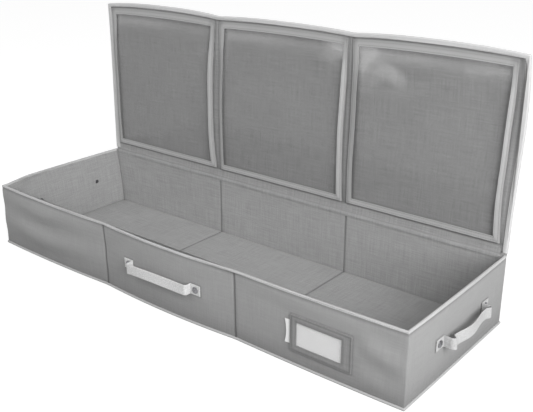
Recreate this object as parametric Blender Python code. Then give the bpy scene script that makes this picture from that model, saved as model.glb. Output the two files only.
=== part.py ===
"""Under-bed gift wrap organizer: a stiffened fabric box with a hinged lid that carries three clear pockets.

Metres, +Z up. The origin is at the centre of the box's underside, +X runs along the box, and -Y is the front.
Every panel is a sandwich of outer cover, board and lining. The lid is drawn shut, and the empty on its hinge
turns it open.
"""

import math

import bmesh
import bpy
from mathutils import Matrix, Vector

# Box
BOX_LENGTH = 1.016
BOX_DEPTH = 0.345
BOX_HEIGHT = 0.137
PANEL_COUNT = 3  # boards side by side in each long panel, parted by a stitched seam

# Sheet goods
FABRIC = 0.0008
BOARD = 0.0025
CLEARANCE = 0.0003  # between pieces that touch on the real object
SEAM_GAP = 0.008  # between two boards, where cover and lining are stitched together
BOARD_EDGE_MARGIN = 0.001

# Edge bindings and piping
BINDING_SKIN = 0.0008
RIM_BINDING_HEIGHT = 0.007
LID_BINDING_WIDTH = 0.009
PIPING_THICKNESS = 0.0022
PIPING_HEIGHT = 0.005
CORNER_STEPS = 4

# Lid and its hinge
LID_OVERHANG = 0.009  # past the front wall when the lid is shut
LID_OPEN_ANGLE = 90  # degrees from shut, as the lid stands at rest
WELT_RADIUS = 0.0018
WELT_SIDES = 12
HINGE_MARGIN = 0.0025  # from the hinge axis to the lid's first edge

# Pockets on the lid
POCKET_DEPTH = 0.008
POCKET_TAPE_WIDTH = 0.015
POCKET_TAPE = 0.0012
POCKET_HEM_WIDTH = 0.011
POCKET_FOOT_WIDTH = 0.012
GUSSET = 0.001
POCKET_GAP = 0.011
POCKET_END_MARGIN = 0.0085
POCKET_HINGE_MARGIN = 0.019
POCKET_RIM_CLEARANCE = 0.002  # between the shut lid's pockets and the front rim
VINYL = 0.0005
WINDOW_OVERLAP = 0.006  # of the vinyl under its tape

# Handles
STRAP_WIDTH = 0.020
STRAP = 0.0015
STRAP_STAND_OFF = 0.0215
STRAP_BEND_RADIUS = 0.006
STRAP_ROOT_RADIUS = 0.0045
STRAP_ROOT_GAP = 0.0008
STRAP_TAPER_LENGTH = 0.0095
ROOT_STEPS = 3
TAPER_STEPS = 3
BEND_STEPS = 5
TAB_LENGTH = 0.023
FRONT_RIVET_SPACING = 0.176
FRONT_HANDLE_SHIFT = -0.005
END_RIVET_SPACING = 0.164
END_HANDLE_SHIFT = 0.008
RIVET_HEAD_RADIUS = 0.0065
RIVET_HEAD_HEIGHT = 0.0022
RIVET_RIM_HEIGHT = 0.0008
RIVET_DOME_STEPS = 3
RIVET_SHANK_RADIUS = 0.002
RIVET_TAIL_RADIUS = 0.0045
RIVET_TAIL_HEIGHT = 0.001
RIVET_SIDES = 16
HOLE_SIDES = 12

# Label holder on the front wall's right third
LABEL_FRAME_LENGTH = 0.121
LABEL_FRAME_HEIGHT = 0.068
LABEL_FRAME_SKIN = 0.001
LABEL_OFFSET = 0.0145  # of its middle, to the right of that panel's middle
LABEL_HEIGHT = 0.062
LABEL_WINDOW_LENGTH = 0.089
LABEL_WINDOW_HEIGHT = 0.043
LABEL_WINDOW_MARGIN = 0.013  # from the frame's left edge to its window
CARD_HEIGHT = 0.044
CARD = 0.0004
CARD_PULL = 0.011  # how far the card stands out of its slot
CARD_END_MARGIN = 0.010
CARD_THUMB_DEPTH = 0.003
CARD_SIDE_PLAY = 0.001
THUMB_STEPS = 8

# Sizes that follow from those above
WALL = 2 * FABRIC + BOARD + 2 * CLEARANCE
FLOOR = WALL
SKIN_STEP = BINDING_SKIN + CLEARANCE
WALL_TOP = BOX_HEIGHT - SKIN_STEP
BOARD_INSET = FABRIC + CLEARANCE
LINING_INSET = WALL - FABRIC
HINGE_HEIGHT = BOX_HEIGHT + SKIN_STEP + CLEARANCE
HINGE_Y = BOX_DEPTH / 2
LID_HALF_LENGTH = BOX_LENGTH / 2 - SKIN_STEP
LID_REACH = BOX_DEPTH + LID_OVERHANG - SKIN_STEP
HANDLE_HEIGHT = 0.073
STRAP_AXIS_OUT = STRAP_ROOT_GAP + STRAP_ROOT_RADIUS
PANEL_LENGTH = BOX_LENGTH / PANEL_COUNT
SIDE_NAMES = ("left", "middle", "right")


def clear_scene():
    for thing in list(bpy.data.objects):
        bpy.data.objects.remove(thing)


def material(name, colour, roughness, metallic=0.0, alpha=1.0):
    made = bpy.data.materials.new(name)
    made.use_nodes = True
    made.diffuse_color = (*colour, alpha)
    shader = made.node_tree.nodes["Principled BSDF"]
    shader.inputs["Base Color"].default_value = (*colour, 1.0)
    shader.inputs["Roughness"].default_value = roughness
    shader.inputs["Metallic"].default_value = metallic
    shader.inputs["Alpha"].default_value = alpha
    return made


def empty(name, location, parent=None, turn=(0.0, 0.0, 0.0)):
    """A helper that other pieces are placed from."""
    made = bpy.data.objects.new(name, None)
    made.location = location
    made.rotation_euler = turn
    made.parent = parent
    bpy.context.scene.collection.objects.link(made)
    return made


def add(name, shape, finish, parent=None, smooth=False):
    """Makes the object for a finished bmesh, which it frees."""
    bmesh.ops.recalc_face_normals(shape, faces=shape.faces)
    mesh = bpy.data.meshes.new(name)
    shape.to_mesh(mesh)
    shape.free()
    if smooth:
        mesh.shade_smooth()
        mesh.set_sharp_from_angle(angle=math.radians(35))
    mesh.materials.append(finish)
    made = bpy.data.objects.new(name, mesh)
    made.parent = parent
    bpy.context.scene.collection.objects.link(made)
    return made


def block(low, high):
    """A bmesh box between two corners."""
    shape = bmesh.new()
    low, high = Vector(low), Vector(high)
    size = high - low
    place = Matrix.Translation((high + low) / 2) @ Matrix.Diagonal((*size, 1.0))
    bmesh.ops.create_cube(shape, size=1.0, matrix=place)
    return shape


def prism(outline, axis, start, end):
    """A bmesh from a flat outline, drawn on the two other axes and extruded along one."""
    shape = bmesh.new()

    def corner(point, depth):
        place = list(point)
        place.insert(axis, depth)
        return shape.verts.new(place)

    bottom = shape.faces.new([corner(point, start) for point in outline])
    grown = bmesh.ops.extrude_face_region(shape, geom=[bottom])
    moved = [item for item in grown["geom"] if isinstance(item, bmesh.types.BMVert)]
    shift = Vector((0.0, 0.0, 0.0))
    shift[axis] = end - start
    bmesh.ops.translate(shape, verts=moved, vec=shift)
    return shape


def mitre(before, here, after):
    """The sideways step at a corner of a plan path, as long as the corner needs, to the path's right."""
    runs = [here - before, after - here]
    steps = [run.normalized() for run in runs if run.length]
    sides = [Vector((step.y, -step.x)) for step in steps]
    if len(sides) == 1:
        return sides[0]
    middle = (sides[0] + sides[1]).normalized()
    return middle / middle.dot(sides[0])


def sweep(path, profile, is_closed=False):
    """A bmesh of a profile of (sideways, up) points carried along a path in plan, mitred at its corners."""
    shape = bmesh.new()
    points = [Vector(point) for point in path]
    last = len(points) - 1
    rings = []
    for i, here in enumerate(points):
        before = points[i - 1] if i or is_closed else here
        after = points[(i + 1) % len(points)] if i < last or is_closed else here
        side = mitre(before, here, after)
        rings.append([shape.verts.new((*(here + side * out), up)) for out, up in profile])
    pairs = list(zip(rings, rings[1:]))
    if is_closed:
        pairs.append((rings[-1], rings[0]))
    count = len(profile)
    for near, far in pairs:
        for k in range(count):
            shape.faces.new((near[k], near[(k + 1) % count], far[(k + 1) % count], far[k]))
    if not is_closed:
        shape.faces.new(rings[0])
        shape.faces.new(rings[-1])
    return shape


def turned(profile, sides, axis):
    """A bmesh of a (radius, height) profile, whose ends lie on the axis, turned about X, Y or Z."""
    shape = bmesh.new()
    rims = [shape.verts.new((radius, 0.0, height)) for radius, height in profile]
    edges = [shape.edges.new(pair) for pair in zip(rims, rims[1:])]
    bmesh.ops.spin(shape, geom=rims + edges, axis=(0, 0, 1), cent=(0, 0, 0), steps=sides, angle=math.tau)
    bmesh.ops.remove_doubles(shape, verts=shape.verts, dist=0.00001)
    swing = Vector((0, 0, 1)).rotation_difference(axis)
    bmesh.ops.transform(shape, verts=shape.verts, matrix=swing.to_matrix())
    return shape


def cut(piece, cutter):
    """Takes the cutter's shape out of the piece, and keeps the cutter as a hidden guide."""
    cutter.hide_render = True
    cutter.display_type = "WIRE"
    modifier = piece.modifiers.new("cut by " + cutter.name, "BOOLEAN")
    modifier.object = cutter
    modifier.operation = "DIFFERENCE"


def rounded_rectangle(half_x, half_y, radius):
    """The plan points of a rectangle with round corners, clockwise seen from above."""
    points = []
    for sign_x, sign_y, start in ((1, 1, 90), (1, -1, 0), (-1, -1, -90), (-1, 1, -180)):
        centre = Vector((sign_x * (half_x - radius), sign_y * (half_y - radius)))
        for step in range(CORNER_STEPS + 1):
            angle = math.radians(start - 90 * step / CORNER_STEPS)
            points.append(centre + radius * Vector((math.cos(angle), math.sin(angle))))
    return points


def thirds(half_length, end_inset):
    """The ends of the boards that lie side by side between two stitched seams."""
    for i, name in enumerate(SIDE_NAMES):
        left_seam = PANEL_LENGTH * (i - PANEL_COUNT / 2)
        start = left_seam + SEAM_GAP / 2 if i else -half_length + end_inset
        end = left_seam + PANEL_LENGTH - SEAM_GAP / 2 if i < PANEL_COUNT - 1 else half_length - end_inset
        yield name, start, end


def make_walls(finishes):
    """Four walls, each placed from an empty at its outer face's foot: X along the wall, +Y inwards.

    Returns each wall's empty and the pieces that a rivet goes through.
    """
    frames = {
        "front": empty("front_wall_frame", (0, -BOX_DEPTH / 2, 0)),
        "right": empty("right_wall_frame", (BOX_LENGTH / 2, 0, 0), turn=(0, 0, math.radians(90))),
        "back": empty("back_wall_frame", (0, BOX_DEPTH / 2, 0), turn=(0, 0, math.radians(180))),
        "left": empty("left_wall_frame", (-BOX_LENGTH / 2, 0, 0), turn=(0, 0, math.radians(-90))),
    }
    foot = FABRIC + CLEARANCE
    back_top = HINGE_HEIGHT - WELT_RADIUS - CLEARANCE
    layers = {}
    for side, frame in frames.items():
        top = back_top if side == "back" else WALL_TOP
        board_top = WALL_TOP - BOARD_EDGE_MARGIN
        if side in ("front", "back"):
            cover_half = BOX_LENGTH / 2
            lining_half = BOX_LENGTH / 2 - LINING_INSET
            board_spans = list(thirds(BOX_LENGTH / 2, BOARD_INSET))
        else:
            cover_half = BOX_DEPTH / 2 - BOARD_INSET
            lining_half = BOX_DEPTH / 2 - WALL - CLEARANCE
            board_half = BOX_DEPTH / 2 - LINING_INSET
            board_spans = [("middle", -board_half, board_half)]
        shape = block((-cover_half, 0, foot), (cover_half, FABRIC, top))
        cover = add(side + "_cover", shape, finishes["cover"], frame)
        shape = block((-lining_half, LINING_INSET, foot), (lining_half, WALL, top))
        lining = add(side + "_lining", shape, finishes["lining"], frame)
        boards = {}
        for name, start, end in board_spans:
            # Seen from outside the back wall, its first board is on the box's right.
            shown = SIDE_NAMES[2 - SIDE_NAMES.index(name)] if side == "back" else name
            label = f"{side}_board_{shown}" if len(board_spans) > 1 else f"{side}_board"
            shape = block((start, BOARD_INSET, foot), (end, BOARD_INSET + BOARD, board_top))
            boards[name] = add(label, shape, finishes["board"], frame)
        layers[side] = [cover, boards["middle"], lining]
    return frames, layers


def make_base(finishes):
    half_x, half_y = BOX_LENGTH / 2, BOX_DEPTH / 2
    add("base_cover", block((-half_x, -half_y, 0), (half_x, half_y, FABRIC)), finishes["cover"])
    inside_x, inside_y = half_x - WALL - CLEARANCE, half_y - WALL - CLEARANCE
    for name, start, end in thirds(inside_x, 0):
        low = (start, -inside_y, BOARD_INSET)
        add("base_board_" + name, block(low, (end, inside_y, BOARD_INSET + BOARD)), finishes["board"])
    low = (-inside_x, -inside_y, LINING_INSET)
    add("base_lining", block(low, (inside_x, inside_y, FLOOR)), finishes["lining"])


def make_edges(finishes):
    """The binding over the rim of three walls, the piping round the base and the welt on the hinge line."""
    half_x, half_y = BOX_LENGTH / 2, BOX_DEPTH / 2
    back_end = half_y - WALL - CLEARANCE
    # The path runs clockwise seen from above, so its right-hand side is inside the box.
    path = [(half_x, back_end), (half_x, -half_y), (-half_x, -half_y), (-half_x, back_end)]
    skirt_foot = BOX_HEIGHT - RIM_BINDING_HEIGHT
    web_foot = BOX_HEIGHT - BINDING_SKIN
    profile = [
        (-SKIN_STEP, skirt_foot),
        (-SKIN_STEP, BOX_HEIGHT),
        (WALL + SKIN_STEP, BOX_HEIGHT),
        (WALL + SKIN_STEP, skirt_foot),
        (WALL + CLEARANCE, skirt_foot),
        (WALL + CLEARANCE, web_foot),
        (-CLEARANCE, web_foot),
        (-CLEARANCE, skirt_foot),
    ]
    add("rim_binding", sweep(path, profile), finishes["binding"])

    outline = rounded_rectangle(half_x + CLEARANCE, half_y + CLEARANCE, CLEARANCE)
    chamfer = PIPING_THICKNESS / 3
    bottom, top = CLEARANCE, CLEARANCE + PIPING_HEIGHT
    profile = [
        (0, bottom),
        (0, top),
        (-PIPING_THICKNESS + chamfer, top),
        (-PIPING_THICKNESS, top - chamfer),
        (-PIPING_THICKNESS, bottom + chamfer),
        (-PIPING_THICKNESS + chamfer, bottom),
    ]
    add("base_piping", sweep(outline, profile, is_closed=True), finishes["binding"])

    profile = [(0, -half_x), (WELT_RADIUS, -half_x), (WELT_RADIUS, half_x), (0, half_x)]
    welt = add("hinge_welt", turned(profile, WELT_SIDES, Vector((1, 0, 0))), finishes["cover"], smooth=True)
    welt.location = (0, HINGE_Y, HINGE_HEIGHT)


def make_lid(finishes):
    """The lid, drawn shut from its hinge axis: towards the front is -Y, and its inner face is at Z = 0."""
    turn = (-math.radians(LID_OPEN_ANGLE), 0, 0)
    hinge = empty("lid_hinge_axis", (0, HINGE_Y, HINGE_HEIGHT), turn=turn)
    near, far = -HINGE_MARGIN, -LID_REACH

    def layer(name, start, end, bottom, thickness, finish, margin=0.0):
        low = (start, far + margin, bottom)
        add(name, block(low, (end, near - margin, bottom + thickness)), finish, hinge)

    layer("lid_lining", -LID_HALF_LENGTH, LID_HALF_LENGTH, 0, FABRIC, finishes["lining"])
    for name, start, end in thirds(LID_HALF_LENGTH, BOARD_EDGE_MARGIN):
        layer("lid_board_" + name, start, end, BOARD_INSET, BOARD, finishes["board"], BOARD_EDGE_MARGIN)
    layer("lid_cover", -LID_HALF_LENGTH, LID_HALF_LENGTH, LINING_INSET, FABRIC, finishes["cover"])

    # The path runs clockwise seen from above, so its right-hand side is over the lid.
    path = [(LID_HALF_LENGTH, near), (LID_HALF_LENGTH, far)]
    path += [(-x, y) for x, y in reversed(path)]
    reach = LID_BINDING_WIDTH - SKIN_STEP
    profile = [
        (-SKIN_STEP, -SKIN_STEP),
        (-SKIN_STEP, WALL + SKIN_STEP),
        (reach, WALL + SKIN_STEP),
        (reach, WALL + CLEARANCE),
        (-CLEARANCE, WALL + CLEARANCE),
        (-CLEARANCE, -CLEARANCE),
        (reach, -CLEARANCE),
        (reach, -SKIN_STEP),
    ]
    add("lid_binding", sweep(path, profile), finishes["binding"], hinge)
    make_pockets(hinge, finishes)


def make_pockets(hinge, finishes):
    """Three shallow pockets under the shut lid.

    Each has a tape frame on a gusset of three sides, open at the lid's free edge, and a clear window behind
    the tape.
    """
    foot = -POCKET_HINGE_MARGIN
    mouth = -(BOX_DEPTH - WALL - SKIN_STEP - POCKET_RIM_CLEARANCE)
    tape_top = -POCKET_DEPTH
    tape_bottom = -POCKET_DEPTH - POCKET_TAPE
    for i, name in enumerate(SIDE_NAMES):
        left_seam = PANEL_LENGTH * (i - PANEL_COUNT / 2)
        right_seam = left_seam + PANEL_LENGTH
        lid_end = LID_HALF_LENGTH - POCKET_END_MARGIN
        start = left_seam + POCKET_GAP / 2 if i else -lid_end
        end = right_seam - POCKET_GAP / 2 if i < PANEL_COUNT - 1 else lid_end
        shape = block((start, mouth, tape_bottom), (end, foot, -CLEARANCE))
        frame = add("pocket_frame_" + name, shape, finishes["tape"], hinge)
        # The cavity opens at the mouth, and the window opening goes down through the tape.
        spill = POCKET_DEPTH
        cavity = block((start + GUSSET, mouth - spill, tape_top), (end - GUSSET, foot - GUSSET, spill))
        cut(frame, add("pocket_cavity_" + name, cavity, finishes["tape"], hinge))
        window_start, window_end = start + POCKET_TAPE_WIDTH, end - POCKET_TAPE_WIDTH
        window_mouth, window_foot = mouth + POCKET_HEM_WIDTH, foot - POCKET_FOOT_WIDTH
        opening = block(
            (window_start, window_mouth, tape_bottom - spill),
            (window_end, window_foot, tape_top + POCKET_DEPTH / 2),
        )
        cut(frame, add("pocket_opening_" + name, opening, finishes["tape"], hinge))
        sheet_bottom = tape_top + CLEARANCE
        sheet = block(
            (window_start - WINDOW_OVERLAP, window_mouth - WINDOW_OVERLAP, sheet_bottom),
            (window_end + WINDOW_OVERLAP, window_foot + WINDOW_OVERLAP, sheet_bottom + VINYL),
        )
        add("pocket_window_" + name, sheet, finishes["vinyl"], hinge)


def strap_half_width(out):
    """Half the strap's width at a distance out from its swing axis: a round root, then a taper."""
    if out < 0:
        return math.sqrt(max(STRAP_ROOT_RADIUS**2 - out**2, 0.0))
    share = min(out / STRAP_TAPER_LENGTH, 1.0)
    return STRAP_ROOT_RADIUS + (STRAP_WIDTH / 2 - STRAP_ROOT_RADIUS) * share


def strap_stations(half_span):
    """The strap's middle line about its swing axis, as (along, out, direction across its thickness)."""
    run = STRAP_STAND_OFF - STRAP / 2 - STRAP_AXIS_OUT
    centre_out = run - STRAP_BEND_RADIUS
    root_angles = [math.radians(90 * (i + 1) / (ROOT_STEPS + 1)) for i in range(ROOT_STEPS)]
    leg = [-STRAP_ROOT_RADIUS * math.cos(angle) for angle in root_angles]
    leg += [STRAP_TAPER_LENGTH * i / TAPER_STEPS for i in range(TAPER_STEPS)]
    left = [(-half_span, out, Vector((-1, 0))) for out in leg]
    bend_centre = Vector((STRAP_BEND_RADIUS - half_span, centre_out))
    for i in range(BEND_STEPS + 1):
        angle = math.radians(180 - 90 * i / BEND_STEPS)
        way = Vector((math.cos(angle), math.sin(angle)))
        left.append((*(bend_centre + STRAP_BEND_RADIUS * way), way))
    right = [(-along, out, Vector((-way.x, way.y))) for along, out, way in reversed(left)]
    return left + right


def strap_shape(half_span):
    """A bmesh of the strap about its swing axis: X along the axis, -Y outwards."""
    shape = bmesh.new()
    rings = []
    for along, out, way in strap_stations(half_span):
        half = strap_half_width(out)
        ring = []
        for side, up in ((-1, -half), (1, -half), (1, half), (-1, half)):
            shift = way * side * STRAP / 2
            ring.append(shape.verts.new((along + shift.x, -(out + shift.y), up)))
        rings.append(ring)
    for near, far in zip(rings, rings[1:]):
        for k in range(4):
            shape.faces.new((near[k], near[(k + 1) % 4], far[(k + 1) % 4], far[k]))
    shape.faces.new(rings[0])
    shape.faces.new(rings[-1])
    return shape


def rivet_profile():
    """Radius and distance out from the wall's face: domed head, shank through the wall, flat tail."""
    seat = STRAP + 2 * CLEARANCE
    dome = []
    for i in range(RIVET_DOME_STEPS):
        angle = math.radians(90 * i / RIVET_DOME_STEPS)
        up = RIVET_RIM_HEIGHT + (RIVET_HEAD_HEIGHT - RIVET_RIM_HEIGHT) * math.sin(angle)
        dome.append((RIVET_HEAD_RADIUS * math.cos(angle), seat + up))
    tail = -WALL - CLEARANCE
    return [
        (0, seat + RIVET_HEAD_HEIGHT),
        *reversed(dome),
        (RIVET_HEAD_RADIUS, seat),
        (RIVET_SHANK_RADIUS, seat),
        (RIVET_SHANK_RADIUS, tail),
        (RIVET_TAIL_RADIUS, tail),
        (RIVET_TAIL_RADIUS, tail - RIVET_TAIL_HEIGHT),
        (0, tail - RIVET_TAIL_HEIGHT),
    ]


def make_handle(side, wall, layers, shift, rivet_spacing, finishes):
    """A webbing strap that swings about a line just off the wall, and the two riveted tabs that carry it."""
    outwards = Vector((0, -1, 0))
    half_span = rivet_spacing / 2 - TAB_LENGTH / 2 - CLEARANCE - STRAP / 2
    axis = empty(side + "_handle_axis", (shift, -STRAP_AXIS_OUT, HANDLE_HEIGHT), wall)
    add(side + "_handle_strap", strap_shape(half_span), finishes["webbing"], axis)
    for end, sign in (("left", -1), ("right", 1)):
        middle = shift + sign * rivet_spacing / 2
        low = (middle - TAB_LENGTH / 2, -CLEARANCE - STRAP, HANDLE_HEIGHT - STRAP_WIDTH / 2)
        high = (middle + TAB_LENGTH / 2, -CLEARANCE, HANDLE_HEIGHT + STRAP_WIDTH / 2)
        tab = add(f"{side}_handle_tab_{end}", block(low, high), finishes["webbing"], wall)
        shape = turned(rivet_profile(), RIVET_SIDES, outwards)
        rivet = add(f"{side}_handle_rivet_{end}", shape, finishes["metal"], wall, smooth=True)
        rivet.location = (middle, 0, HANDLE_HEIGHT)
        radius = RIVET_SHANK_RADIUS + CLEARANCE
        reach = WALL + STRAP_STAND_OFF
        bore = turned([(0, reach), (radius, reach), (radius, -reach), (0, -reach)], HOLE_SIDES, outwards)
        drill = add(f"{side}_handle_drill_{end}", bore, finishes["metal"], wall)
        drill.location = rivet.location
        for piece in (*layers, tab):
            cut(piece, drill)


def card_outline(start, end, low, high):
    """The label card seen from the front, with a shallow thumb hollow in its free end."""
    points = [(start, high), (end, high), (end, low), (start, low)]
    for i in range(1, THUMB_STEPS):
        share = i / THUMB_STEPS
        hollow = CARD_THUMB_DEPTH * math.sin(math.pi * share)
        points.append((start + hollow, low + (high - low) * share))
    return points


def make_label(wall, finishes):
    """A stitched frame with a clear window, open at its left end, and the card that slides in it."""
    middle = PANEL_LENGTH * (PANEL_COUNT - 1) / 2 + LABEL_OFFSET
    start, end = middle - LABEL_FRAME_LENGTH / 2, middle + LABEL_FRAME_LENGTH / 2
    low, high = LABEL_HEIGHT - LABEL_FRAME_HEIGHT / 2, LABEL_HEIGHT + LABEL_FRAME_HEIGHT / 2
    slot = CARD + VINYL + 3 * CLEARANCE
    shape = block((start, -slot - LABEL_FRAME_SKIN, low), (end, -CLEARANCE, high))
    frame = add("label_holder", shape, finishes["cover"], wall)
    window_start = start + LABEL_WINDOW_MARGIN
    window_end = window_start + LABEL_WINDOW_LENGTH
    window_low = LABEL_HEIGHT - LABEL_WINDOW_HEIGHT / 2
    window_high = LABEL_HEIGHT + LABEL_WINDOW_HEIGHT / 2
    half_card = CARD_HEIGHT / 2
    card_end = end - CARD_END_MARGIN
    spill = LABEL_WINDOW_MARGIN
    channel = block(
        (start - spill, -slot, LABEL_HEIGHT - half_card - CARD_SIDE_PLAY),
        (card_end + CARD_SIDE_PLAY, spill, LABEL_HEIGHT + half_card + CARD_SIDE_PLAY),
    )
    cut(frame, add("label_channel", channel, finishes["cover"], wall))
    opening = block((window_start, -slot - spill, window_low), (window_end, -slot / 2, window_high))
    cut(frame, add("label_opening", opening, finishes["cover"], wall))

    sheet_face = -slot + CLEARANCE
    sheet = block(
        (start + CLEARANCE, sheet_face, LABEL_HEIGHT - half_card),
        (card_end, sheet_face + VINYL, LABEL_HEIGHT + half_card),
    )
    add("label_window", sheet, finishes["vinyl"], wall)
    outline = card_outline(start - CARD_PULL, card_end, LABEL_HEIGHT - half_card, LABEL_HEIGHT + half_card)
    add("label_card", prism(outline, 1, -CLEARANCE - CARD, -CLEARANCE), finishes["paper"], wall)


def main():
    clear_scene()
    finishes = {
        "cover": material("grey_cover_fabric", (0.32, 0.32, 0.32), 0.85),
        "lining": material("grey_lining_fabric", (0.26, 0.255, 0.25), 0.9),
        "tape": material("light_grey_tape", (0.42, 0.42, 0.42), 0.8),
        "binding": material("white_binding", (0.72, 0.72, 0.72), 0.75),
        "webbing": material("white_webbing", (0.74, 0.74, 0.74), 0.8),
        "board": material("grey_board", (0.45, 0.38, 0.29), 0.9),
        "vinyl": material("clear_vinyl", (0.8, 0.8, 0.8), 0.12, alpha=0.2),
        "metal": material("nickel_rivet", (0.6, 0.6, 0.6), 0.3, metallic=1.0),
        "paper": material("white_card", (0.75, 0.75, 0.75), 0.6),
    }
    walls, layers = make_walls(finishes)
    make_base(finishes)
    make_edges(finishes)
    make_lid(finishes)
    make_handle("front", walls["front"], layers["front"], FRONT_HANDLE_SHIFT, FRONT_RIVET_SPACING, finishes)
    make_handle("right", walls["right"], layers["right"], END_HANDLE_SHIFT, END_RIVET_SPACING, finishes)
    make_handle("left", walls["left"], layers["left"], -END_HANDLE_SHIFT, END_RIVET_SPACING, finishes)
    make_label(walls["front"], finishes)


main()
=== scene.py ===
"""Looks of an under-bed gift wrap organizer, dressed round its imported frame.

Metres, +Z up, -Y is the front. Cloth pieces are cut flat where the frame says, then settled: the walls and
the lid of the real box lean and bow a little, and every layer sewn to them gives by the same field.
"""

import logging
import math
from collections.abc import Callable, Iterator, Sequence
from contextlib import contextmanager
from dataclasses import dataclass, field, replace
from enum import Enum

import bmesh
import bpy
import numpy as np
from mathutils import Matrix, Vector


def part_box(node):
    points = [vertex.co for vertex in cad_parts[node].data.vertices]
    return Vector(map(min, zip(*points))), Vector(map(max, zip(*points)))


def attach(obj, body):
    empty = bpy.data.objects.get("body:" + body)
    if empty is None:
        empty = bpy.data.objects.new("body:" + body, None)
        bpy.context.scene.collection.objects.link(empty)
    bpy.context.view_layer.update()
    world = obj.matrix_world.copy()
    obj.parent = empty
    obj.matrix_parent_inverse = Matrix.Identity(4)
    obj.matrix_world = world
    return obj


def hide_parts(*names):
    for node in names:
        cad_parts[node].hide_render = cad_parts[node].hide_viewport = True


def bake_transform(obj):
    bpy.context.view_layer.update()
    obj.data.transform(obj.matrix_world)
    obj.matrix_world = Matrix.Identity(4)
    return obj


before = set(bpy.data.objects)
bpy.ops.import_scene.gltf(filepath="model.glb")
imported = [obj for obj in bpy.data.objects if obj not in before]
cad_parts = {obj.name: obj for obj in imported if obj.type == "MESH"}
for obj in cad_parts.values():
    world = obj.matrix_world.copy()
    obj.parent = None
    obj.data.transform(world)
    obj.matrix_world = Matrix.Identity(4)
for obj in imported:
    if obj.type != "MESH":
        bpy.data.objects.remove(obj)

LOG = logging.getLogger("organizer")
Field = Callable[[np.ndarray], np.ndarray]
Colour = tuple[float, float, float]
MILLI = 0.001
TOUCH = 1e-5  # two places nearer than this are the same
ENDS = ("left", "right")
THIRDS = ("left", "middle", "right")


def grey(level: float) -> Colour:
    """Linear colour of a plain grey given as a display level from 0 to 255."""
    share = level / 255
    linear = share / 12.92 if share <= 0.04045 else ((share + 0.055) / 1.055) ** 2.4
    return (linear, linear, linear)


def tinted(red: float, green: float, blue: float) -> Colour:
    """Linear colour from three display levels from 0 to 255."""
    return (grey(red)[0], grey(green)[0], grey(blue)[0])


class Axis(Enum):
    """One of the frame's axes, by its place in a point."""

    X = 0
    Y = 1
    Z = 2

    def point(self, place: float) -> tuple[float, float, float]:
        """A point at this place on the axis."""
        return tuple(place if i == self.value else 0.0 for i in range(3))


class Wall(Enum):
    """An upright wall of the box: its name, the axis along it, and the axis and sign that point outwards."""

    FRONT = ("front", Axis.X, Axis.Y, -1)
    BACK = ("back", Axis.X, Axis.Y, 1)
    LEFT = ("left", Axis.Y, Axis.X, -1)
    RIGHT = ("right", Axis.Y, Axis.X, 1)

    @property
    def label(self) -> str:
        """The wall's name in the frame's node names."""
        return self.value[0]

    @property
    def outwards(self) -> Vector:
        """The unit vector out of the box through this wall."""
        return Vector(self.value[2].point(self.value[3]))

    @property
    def along(self) -> Vector:
        """The unit vector along the wall, to the right as seen from outside."""
        return Vector((0, 0, 1)).cross(self.outwards)


# Shader maths and finishes


class Value:
    """A number that varies over a surface. Python's operators add its Math nodes."""

    def __init__(self, board: "NodeBoard", socket: bpy.types.NodeSocket) -> None:
        """Wraps an output socket of one of the board's nodes."""
        self.board = board
        self.socket = socket

    def _math(self, operation: str, *items: "Value | float") -> "Value":
        """A Math node of that operation on these items, in order."""
        node = self.board.node("ShaderNodeMath", {"operation": operation}, dict(enumerate(items)))
        return Value(self.board, node.outputs[0])

    def __add__(self, other: "Value | float") -> "Value":
        """Sum."""
        return self._math("ADD", self, other)

    def __radd__(self, other: float) -> "Value":
        """Sum with a number on the left."""
        return self._math("ADD", other, self)

    def __sub__(self, other: "Value | float") -> "Value":
        """Difference."""
        return self._math("SUBTRACT", self, other)

    def __rsub__(self, other: float) -> "Value":
        """Difference from a number."""
        return self._math("SUBTRACT", other, self)

    def __mul__(self, other: "Value | float") -> "Value":
        """Product."""
        return self._math("MULTIPLY", self, other)

    def __rmul__(self, other: float) -> "Value":
        """Product with a number on the left."""
        return self._math("MULTIPLY", other, self)

    def __truediv__(self, other: "Value | float") -> "Value":
        """Quotient."""
        return self._math("DIVIDE", self, other)

    def __abs__(self) -> "Value":
        """Size without its sign."""
        return self._math("ABSOLUTE", self)

    def sine(self) -> "Value":
        """Sine of the value in radians."""
        return self._math("SINE", self)

    def ramp(self, low: float, high: float) -> "Value":
        """0 below low, 1 above high, and a smooth rise between them."""
        node = self.board.node(
            "ShaderNodeMapRange",
            {"interpolation_type": "SMOOTHSTEP"},
            {"Value": self, "From Min": low, "From Max": high},
        )
        return Value(self.board, node.outputs[0])


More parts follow.
